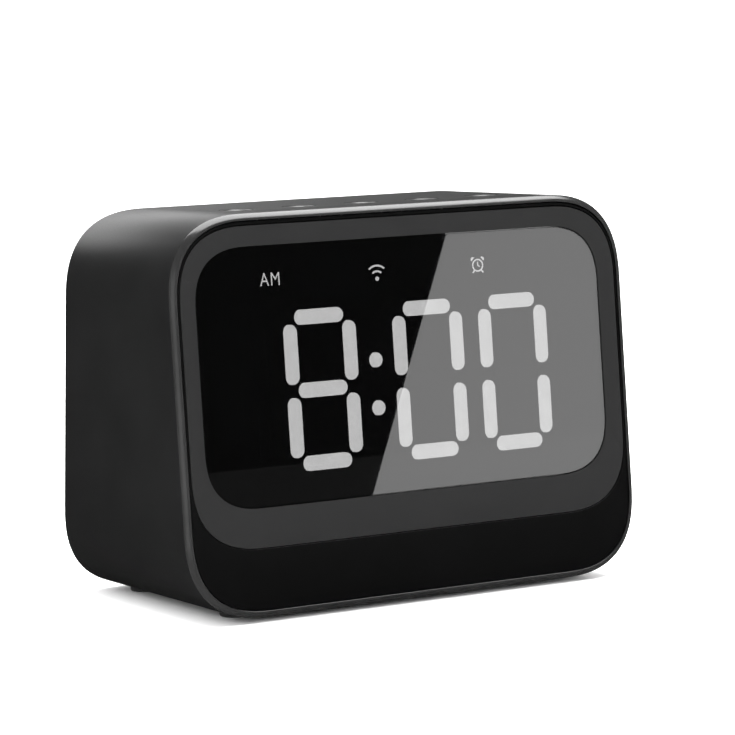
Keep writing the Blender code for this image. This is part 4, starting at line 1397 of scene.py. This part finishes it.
@dataclass(frozen=True)
class WirelessSign:
    """A dot with two waves spreading from it."""

    line: float = 0.42 * MM
    thick: float = 0.04 * MM

    def build(self, name: str, placing: Matrix) -> bpy.types.Object:
        """Makes the sign, centred on the placing.

        Args:
            name: Name of the piece.
            placing: Middle of the sign, with +Z out of its face.

        Returns:
            The new object.
        """
        foot = (0.0, -1.5 * MM)
        fills = []
        for radius in (1.7 * MM, 3.0 * MM):
            near = arc(foot, radius - self.line / 2, 48.0, 132.0)
            far = arc(foot, radius + self.line / 2, 48.0, 132.0)
            fills.append(band(near, far, placing, self.thick))
        inner = arc(foot, 0.02 * MM, 0, 360, 20)
        outer = arc(foot, 0.5 * MM, 0, 360, 20)
        fills.append(band(inner, outer, placing, self.thick))
        return Maker.mesh(name, Maker.several(*fills), Shading.CRISP)


@dataclass(frozen=True)
class AlarmSign:
    """A small round clock with two bells and two feet."""

    radius: float = 1.35 * MM
    line: float = 0.34 * MM
    thick: float = 0.04 * MM

    def build(self, name: str, placing: Matrix) -> bpy.types.Object:
        """Makes the sign, centred on the placing.

        Args:
            name: Name of the piece.
            placing: Middle of the sign, with +Z out of its face.

        Returns:
            The new object.
        """
        centre = (0.0, -0.1 * MM)
        inner = arc(centre, self.radius - self.line / 2, 0, 360, 36)
        outer = arc(centre, self.radius + self.line / 2, 0, 360, 36)
        fills = [band(inner, outer, placing, self.thick)]
        for side in (1, -1):
            bell = (side * 1.25 * MM, 1.3 * MM)
            tilt = 45.0 if side == 1 else 135.0
            near = arc(bell, 0.04 * MM, tilt - 90, tilt + 90, 10)
            far = arc(bell, 0.58 * MM, tilt - 90, tilt + 90, 10)
            fills.append(band(near, far, placing, self.thick))
            leg = bar((side * 0.95 * MM, -1.25 * MM), (side * 1.45 * MM, -1.85 * MM), self.line)
            fills.append(band(*leg, placing, self.thick))
        for tip in ((0.0, 0.75 * MM), (0.55 * MM, -0.45 * MM)):
            hand = bar(centre, tip, self.line * 0.8)
            fills.append(band(*hand, placing, self.thick))
        return Maker.mesh(name, Maker.several(*fills), Shading.CRISP)


@dataclass
class TopButtons(Assembly):
    """Row of dished push buttons in the top of the case."""

    sizes: CaseSizes
    count: int = 5
    pitch: float = 16.5 * MM
    setback: float = 18.0 * MM
    radius: float = 3.9 * MM
    dish: float = 0.9 * MM
    flange: float = 4.9 * MM
    stem: float = 2.0 * MM

    def places(self) -> list[Point]:
        """Middles of the buttons, across the case and behind its front edge."""
        y = self.sizes.height * math.tan(self.sizes.front_lean) + self.setback
        return [(self.pitch * (k - (self.count - 1) / 2), y) for k in range(self.count)]

    def profile(self) -> list[Point]:
        """Half section of a cap, with a smooth dish and a rolled rim.

        Returns:
            The section as (radius, height) points.
        """
        rim, top, edge = 3.45 * MM, -0.02 * MM, 0.28 * MM
        flange_top, flange_bottom, stem_foot = -1.9 * MM, -3.2 * MM, -5.2 * MM
        points = []
        for step in range(13):
            share = step / 12
            points.append((rim * share, top - self.dish * (1 - share**2)))
        for step in range(7):
            turn = math.pi / 2 * step / 6
            rolled = self.radius - edge + edge * math.sin(turn)
            points.append((rolled, top - edge * (1 - math.cos(turn))))
        points += [(self.radius, flange_top), (self.flange, flange_top), (self.flange, flange_bottom)]
        points += [(self.stem, flange_bottom), (self.stem, stem_foot), (0.0, stem_foot)]
        return points

    def build(self) -> None:
        """Makes each cap on its own body."""
        s = self.sizes
        for index, (x, y) in enumerate(self.places(), start=1):
            placing = Matrix.Translation((x, s.y + y, s.z + s.height))
            cap = Maker.mesh(f"button_{index}", Maker.turned_fill(self.profile(), placing), Shading.CRISP)
            self.join(cap, "button_black", [f"button_cap_{index}"], f"button_{index}")


@dataclass
class Feet(Assembly):
    """Four round rubber feet with rolled lower edges."""

    sizes: CaseSizes
    radius: float = 4.0 * MM
    drop: float = 1.0 * MM
    roll: float = 0.3 * MM
    across: tuple[float, ...] = (-42.0 * MM, 42.0 * MM)
    setbacks: tuple[float, ...] = (13.0 * MM, 59.0 * MM)

    def places(self) -> list[Point]:
        """Middles of the feet, across the case and behind its front edge."""
        return [(x, y) for x in self.across for y in self.setbacks]

    def build(self) -> None:
        """Makes each foot."""
        s = self.sizes
        profile = [(0.0, 0.3 * MM), (self.radius, 0.3 * MM)]
        for step in range(6):
            turn = math.pi / 2 * step / 5
            radius = self.radius - self.roll * (1 - math.cos(turn))
            profile.append((radius, -self.drop + self.roll * (1 - math.sin(turn))))
        profile.append((0.0, -self.drop))
        for index, (x, y) in enumerate(self.places(), start=1):
            placing = Matrix.Translation((x, s.y + y, s.z))
            foot = Maker.mesh(f"foot_{index}", Maker.turned_fill(profile, placing, 48), Shading.CRISP)
            self.join(foot, "foot_rubber", [f"rubber_foot_{index}"])


@dataclass
class RearCover(Assembly):
    """Back plate with its speaker grille, socket openings and four screws."""

    sizes: CaseSizes
    speaker_height: float = 53.0 * MM
    grille_radius: float = 20.0 * MM
    grille_thick: float = 0.8 * MM
    hole_pitch: float = 4.3 * MM
    hole_radius: float = 1.35 * MM
    speaker_opening: float = 18.6 * MM
    port_height: float = 12.6 * MM
    card_height: float = 11.85 * MM
    socket_across: float = 24.0 * MM
    jack_opening: float = 3.3 * MM
    screw_across: float = 49.8 * MM
    screw_rise: float = 35.0 * MM
    screw_seat: float = 2.9 * MM
    screw_hole: float = 1.6 * MM

    def edge(self, inset: float) -> list[Point]:
        """Outer outline of the cover."""
        s = self.sizes
        return rounded_rectangle(
            s.width - 2 * inset, s.back_height - 2 * inset, s.corner - inset, s.back_height / 2
        )

    def level(self, height: float) -> float:
        """Height along the cover of a level line through the middle of its thickness."""
        s = self.sizes
        return (height + (s.gap + s.cover_thick / 2) * math.sin(s.back_lean)) / math.cos(s.back_lean)

    def screw_places(self) -> list[Point]:
        """Middles of the screws on the cover."""
        middle = self.sizes.back_height / 2
        return [(x * self.screw_across, middle + z * self.screw_rise) for x in (-1, 1) for z in (-1, 1)]

    def through(self, outline: Sequence[Point], start: float = -MM, end: float = 5.0 * MM) -> Fill:
        """A cutting shape through the cover.

        Args:
            outline: Its outline on the cover.
            start: Depth where it starts.
            end: Depth where it ends.

        Returns:
            A function that adds its faces.
        """
        ring = self.sizes.back.ring
        return Maker.plate_fill([ring(outline, start), ring(outline, end)])

    def build(self) -> None:
        """Makes the cover, the grille and the screws."""
        s, ring = self.sizes, self.sizes.back.ring
        rings = [ring(self.edge(s.cover_inset + 0.5 * MM), s.gap + s.cover_thick)]
        for step in range(5):
            turn = math.pi / 2 * step / 4
            inset = s.cover_inset + 0.4 * MM * (1 - math.cos(turn))
            rings.append(ring(self.edge(inset), s.gap + 0.4 * MM * (1 - math.sin(turn))))
        cover = Maker.mesh("back_plate", Maker.plate_fill(rings), Shading.CRISP)
        middle = (0.0, self.speaker_height)
        seat_floor, below_seat = 1.5 * MM, 1.2 * MM
        port, card = self.level(self.port_height), self.level(self.card_height)
        inlet_opening = stroke_outline((-self.socket_across, port), 9.8 * MM, 4.1 * MM, False)
        card_opening = rounded_rectangle(13.0 * MM, 2.8 * MM, 0.5 * MM, card, Corner.ROUND, 6)
        cuts = [
            self.through(ring_outline(middle, self.grille_radius + s.fit, 96), end=seat_floor),
            self.through(ring_outline(middle, self.speaker_opening, 96), start=below_seat),
            self.through(inlet_opening),
            self.through(ring_outline((0.0, port), self.jack_opening, 48)),
            self.through([(x + self.socket_across, z) for x, z in card_opening]),
        ]
        for place in self.screw_places():
            cuts.append(self.through(ring_outline(place, self.screw_seat, 40), end=seat_floor))
            cuts.append(self.through(ring_outline(place, self.screw_hole, 24), start=below_seat))
        for cut in cuts:
            Maker.cut(cover, cut, Shading.CRISP)
        self.join(cover, "case_black", ["rear_cover"])
        self.grille()
        self.screws()

    def grille(self) -> None:
        """Makes the pierced grille."""
        middle = (0.0, self.speaker_height)
        outlines = [ring_outline(middle, self.grille_radius, 96)]
        for row in range(-4, 5):
            for column in range(-4, 5):
                x = self.hole_pitch * (column + 0.5 * (row % 2))
                z = self.hole_pitch * row * math.sqrt(3.0) / 2
                if math.hypot(x, z) < self.grille_radius - 3.0 * MM:
                    outlines.append(ring_outline((x, self.speaker_height + z), self.hole_radius, 20))
        depth = self.sizes.gap + self.grille_thick / 2
        placing = self.sizes.back.matrix(0.0, depth, 0.0)
        mirrored = [[(-x, z) for x, z in outline] for outline in outlines]
        plate = Maker.pierced_plate("back_grille", mirrored, self.grille_thick, placing, 0.1 * MM)
        self.join(plate, "grille_black", ["speaker_grille"])

    def screws(self) -> None:
        """Makes the four screws with their crossed slots."""
        profile = [
            (0.0, 0.0),
            (1.4 * MM, -0.03 * MM),
            (2.2 * MM, -0.14 * MM),
            (2.55 * MM, -0.34 * MM),
            (2.6 * MM, -0.9 * MM),
            (1.25 * MM, -0.9 * MM),
            (1.25 * MM, -8.4 * MM),
            (0.6 * MM, -9.2 * MM),
            (0.0, -9.2 * MM),
        ]
        slot = rounded_rectangle(2.9 * MM, 0.5 * MM, 0.1 * MM, 0.0, Corner.ROUND, 2)
        for index, (x, z) in enumerate(self.screw_places(), start=1):
            placing = self.sizes.back.matrix(x, self.sizes.gap + 0.1 * MM, z)
            turned = Maker.turned_fill(profile, placing, 32)
            screw = Maker.mesh(f"back_screw_{index}", turned, Shading.CRISP)
            for turn in (45.0, 135.0):
                spun = placing @ Matrix.Rotation(math.radians(turn), 4, "Z")
                rows = []
                for level in (0.3 * MM, -0.6 * MM):
                    rows.append([spun @ Vector((across, up, level)) for across, up in slot])
                Maker.cut(screw, Maker.plate_fill(rows), Shading.CRISP)
            self.join(screw, "screw_steel", [f"cover_screw_{index}"])


@dataclass
class Insides(Assembly):
    """The frame's own solids that stay: speaker, boards, battery, sockets and leads."""

    def build(self) -> None:
        """Gives every frame node that is still shown its finish and smooth rounds."""
        slots = {part["node"]: part["material_slot"] for part in frame["record"]["subparts"]}
        for name, node in sorted(frame["nodes"].items()):
            if node.hide_render:
                continue
            self.finishes.dress(node, slots[name])
            node.data.shade_smooth()
            weld = node.modifiers.new("weld", "WELD")
            weld.merge_threshold = 0.002 * MM
            split = node.modifiers.new("crisp edges", "EDGE_SPLIT")
            split.split_angle = math.radians(Shading.CRISP.value)
            LOG.info("%s keeps its shape, finished as %s", name, slots[name])


# ------------------------------------------------------------------------- the studio


@dataclass(frozen=True)
class Softbox:
    """A rectangular soft light, hung so many metres from the clock in one direction."""

    name: str
    direction: Place
    distance: float
    width: float
    height: float
    radiance: float
    aim_height: float = 45.0 * MM

    def hang(self) -> None:
        """Makes the light and turns it to the clock."""
        data = bpy.data.lights.new(self.name, "AREA")
        data.shape = "RECTANGLE"
        data.size = self.width
        data.size_y = self.height
        data.energy = self.radiance * math.pi * self.width * self.height
        made = bpy.data.objects.new(self.name, data)
        towards = Vector(self.direction).normalized()
        made.location = towards * self.distance + Vector((0.0, 0.0, self.aim_height))
        made.rotation_euler = towards.to_track_quat("Z", "Y").to_euler()
        made.visible_camera = False
        bpy.context.scene.collection.objects.link(made)


@dataclass(frozen=True)
class WindowCard:
    """A soft card that only the window mirrors, on one side of a straight line across the window.

    The line's two ends are (across, up) on the window. The card is hung where the camera sees it
    mirrored beyond that line.
    """

    name: str
    first: Point
    second: Point
    side: Place
    distance: float
    reach: float
    length: float
    radiance: float

    def hang(self, sizes: CaseSizes, depth: float, middle_height: float) -> None:
        """Makes the card.

        Args:
            sizes: Sizes of the case.
            depth: Depth of the window's front face.
            middle_height: Height of the window's middle.
        """
        front = sizes.front
        middle = front.place(0.0, depth, middle_height)
        normal = (front.place(0.0, depth - MM, middle_height) - middle).normalized()
        eye = bpy.context.scene.camera.matrix_world.translation
        mirrored = eye - 2 * (eye - middle).dot(normal) * normal
        outward = (middle - mirrored).normalized()
        plane = middle + outward * self.distance

        def cast(spot: Point) -> Vector:
            """Carries a place on the window out to the card's plane."""
            ray = front.place(spot[0], depth, spot[1]) - mirrored
            return mirrored + ray * ((plane - mirrored).dot(outward) / ray.dot(outward))

        start, end = cast(self.first), cast(self.second)
        along = (end - start).normalized()
        right = along.cross(outward)
        across = -right if right.dot(Vector(self.side)) < 0.0 else right
        turn = Matrix((right, along, outward)).transposed().to_4x4()
        data = bpy.data.lights.new(self.name, "AREA")
        data.shape = "RECTANGLE"
        data.size = self.reach
        data.size_y = self.length
        data.energy = self.radiance * math.pi * self.reach * self.length
        made = bpy.data.objects.new(self.name, data)
        made.matrix_world = Matrix.Translation((start + end) / 2 + across * self.reach / 2) @ turn
        made.visible_camera = False
        made.visible_diffuse = False
        bpy.context.scene.collection.objects.link(made)
        only = bpy.data.collections.new(f"{self.name}_on")
        only.objects.link(bpy.data.objects["smoked_window"])
        made.light_linking.receiver_collection = only


@dataclass
class Studio:
    """Pale floor, soft lights and the camera."""

    sizes: CaseSizes
    fascia: Fascia
    azimuth: float = math.radians(-29.92)
    elevation: float = math.radians(5.51)
    roll: float = math.radians(-1.938)
    distance: float = 0.73986
    target: Place = (-11.35 * MM, 3.13 * MM, 53.76 * MM)
    lens: float = 159.24
    # Painted light on the floor: its glow starts this far outside the footprint and is full at glow_full.
    glow_start: float = 4.0 * MM
    glow_full: float = 22.0 * MM
    floor_reach: float = 5.5
    floor_bend: float = 1.2
    floor_rise: float = 4.0
    fill_light: float = 0.025
    softboxes: tuple[Softbox, ...] = (
        Softbox("top_softbox", (0.15, 0.08, 0.98), 0.9, 0.95, 0.95, 9.0),
        Softbox("back_softbox", (0.04, 0.86, 0.43), 1.3, 1.0, 0.42, 2.35),
        Softbox("left_softbox", (-0.86, -0.5, 0.08), 1.2, 0.5, 0.7, 0.9),
    )
    window_cards: tuple[WindowCard, ...] = (
        WindowCard(
            name="side_card",
            first=(-11.5 * MM, 24.5 * MM),
            second=(12.5 * MM, 83.1 * MM),
            side=(1.0, 0.0, 0.0),
            distance=0.9,
            reach=1.1,
            length=2.2,
            radiance=4.2,
        ),
        WindowCard(
            name="table_card",
            first=(-50.0 * MM, 33.5 * MM),
            second=(50.0 * MM, 33.5 * MM),
            side=(0.0, 0.0, -1.0),
            distance=0.5,
            reach=0.022,
            length=1.6,
            radiance=0.09,
        ),
    )

    def build(self) -> None:
        """Sets up the floor, the lights and the camera."""
        bpy.context.scene.view_settings.view_transform = "Standard"
        self.camera(bpy.context.scene)
        self.floor()
        self.world(bpy.context.scene)
        for softbox in self.softboxes:
            softbox.hang()
        for card in self.window_cards:
            card.hang(self.sizes, self.fascia.lens_face, self.fascia.window_middle)

    def camera(self, scene: bpy.types.Scene) -> None:
        """Aims the camera at its target on the case and makes it the scene's own.

        Args:
            scene: The scene that it serves.
        """
        a, e = self.azimuth, self.elevation
        back = Vector((math.sin(a) * math.cos(e), -math.cos(a) * math.cos(e), math.sin(e)))
        right = Vector((math.cos(a), math.sin(a), 0.0))
        up = back.cross(right)
        side = right * math.cos(self.roll) + up * math.sin(self.roll)
        top = up * math.cos(self.roll) - right * math.sin(self.roll)
        turn = Matrix((side, top, back)).transposed().to_4x4()
        data = bpy.data.cameras.new("camera")
        data.lens = self.lens
        data.sensor_width = 36.0
        data.clip_start = 0.01
        data.clip_end = 30.0
        made = bpy.data.objects.new("camera", data)
        aim = Vector((0.0, self.sizes.y, self.sizes.z)) + Vector(self.target)
        made.matrix_world = Matrix.Translation(aim + back * self.distance) @ turn
        scene.collection.objects.link(made)
        scene.camera = made

    def floor(self) -> None:
        """Lays a pale floor that sweeps up all round, with painted light: it glows more the farther it lies
        outside the clock's footprint, so the cast shadow fades out close to the clock.
        """
        reach, bend, rise = self.floor_reach, self.floor_bend, self.floor_rise
        profile = [(0.0, 0.0), (0.5, 0.0), (reach - bend, 0.0)]
        for step in range(1, 13):
            turn = math.pi / 2 * step / 12
            profile.append((reach - bend + bend * math.sin(turn), bend * (1 - math.cos(turn))))
        profile.append((reach, rise))

        def fill(working: bmesh.types.BMesh) -> None:
            """Adds the bowl's faces, ring by ring.

            Args:
                working: The mesh being filled.
            """
            centre = working.verts.new((0.0, 0.0, 0.0))
            rows = []
            for radius, height in profile[1:]:
                ring = ring_outline((0.0, 0.0), radius, 64)
                rows.append([working.verts.new((x, y, height)) for x, y in ring])
            for k in range(64):
                after = (k + 1) % 64
                working.faces.new((centre, rows[0][k], rows[0][after]))
                for near, far in zip(rows, rows[1:]):
                    working.faces.new((near[k], far[k], far[after], near[after]))

        sweep = Maker.mesh("studio_floor", fill, Shading.SOFT)
        bench = Bench("pale_floor")
        bench.feed(bench.blend(bench.noise(0.4), (0.85, 0.85, 0.85), (0.87, 0.87, 0.87)), "Base Color")
        # Painted light: emission is nothing near the footprint, whose ends are shrunk by the corner
        # rounding. It rises to full at glow_full outside it and lightens the cast shadow there.
        outside = bench.surface
        half = (self.sizes.width / 2 - self.sizes.corner, self.sizes.base_depth / 2, 0.0)
        for operation, amount in (("ABSOLUTE", half), ("SUBTRACT", half), ("MAXIMUM", (0.0, 0.0, 0.0))):
            sums = bench.nodes.new("ShaderNodeVectorMath")
            sums.operation = operation
            sums.inputs[1].default_value = amount
            bench.links.new(outside, sums.inputs[0])
            outside = sums.outputs["Vector"]
        away = bench.nodes.new("ShaderNodeVectorMath")
        away.operation = "LENGTH"
        bench.links.new(outside, away.inputs[0])
        glow = bench.nodes.new("ShaderNodeMapRange")
        glow.interpolation_type = "SMOOTHSTEP"
        glow.inputs["From Min"].default_value = self.glow_start
        glow.inputs["From Max"].default_value = self.glow_full
        glow.inputs["To Max"].default_value = 1.0
        bench.links.new(away.outputs["Value"], glow.inputs["Value"])
        bench.feed(glow.outputs["Result"], "Emission Strength")
        bench.set(Roughness=0.9, Specular_IOR_Level=0.0, Emission_Color=(1.0, 1.0, 1.0, 1.0))
        sweep.data.materials.append(bench.material)
        sweep.visible_glossy = False

    def world(self, scene: bpy.types.Scene) -> None:
        """Fills the shadows with an even grey.

        Args:
            scene: The scene that it serves.
        """
        made = bpy.data.worlds.new("studio")
        made.use_nodes = True
        sky = made.node_tree.nodes["Background"]
        sky.inputs["Color"].default_value = (1.0, 1.0, 1.0, 1.0)
        sky.inputs["Strength"].default_value = self.fill_light
        scene.world = made


def main() -> None:
    """Builds the clock and the studio."""
    logging.basicConfig(level=logging.INFO, format="%(name)s: %(message)s")
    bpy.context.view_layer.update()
    finishes = Finishes()
    sizes = CaseSizes()
    buttons = TopButtons(finishes, sizes)
    feet = Feet(finishes, sizes)
    fascia = Fascia(finishes, sizes)
    CaseShell(finishes, sizes, buttons.places(), feet.places()).build()
    fascia.build()
    Digits(finishes, sizes, fascia).build()
    buttons.build()
    feet.build()
    RearCover(finishes, sizes).build()
    Insides(finishes).build()
    Studio(sizes, fascia).build()


if __name__ == "__main__":
    main()
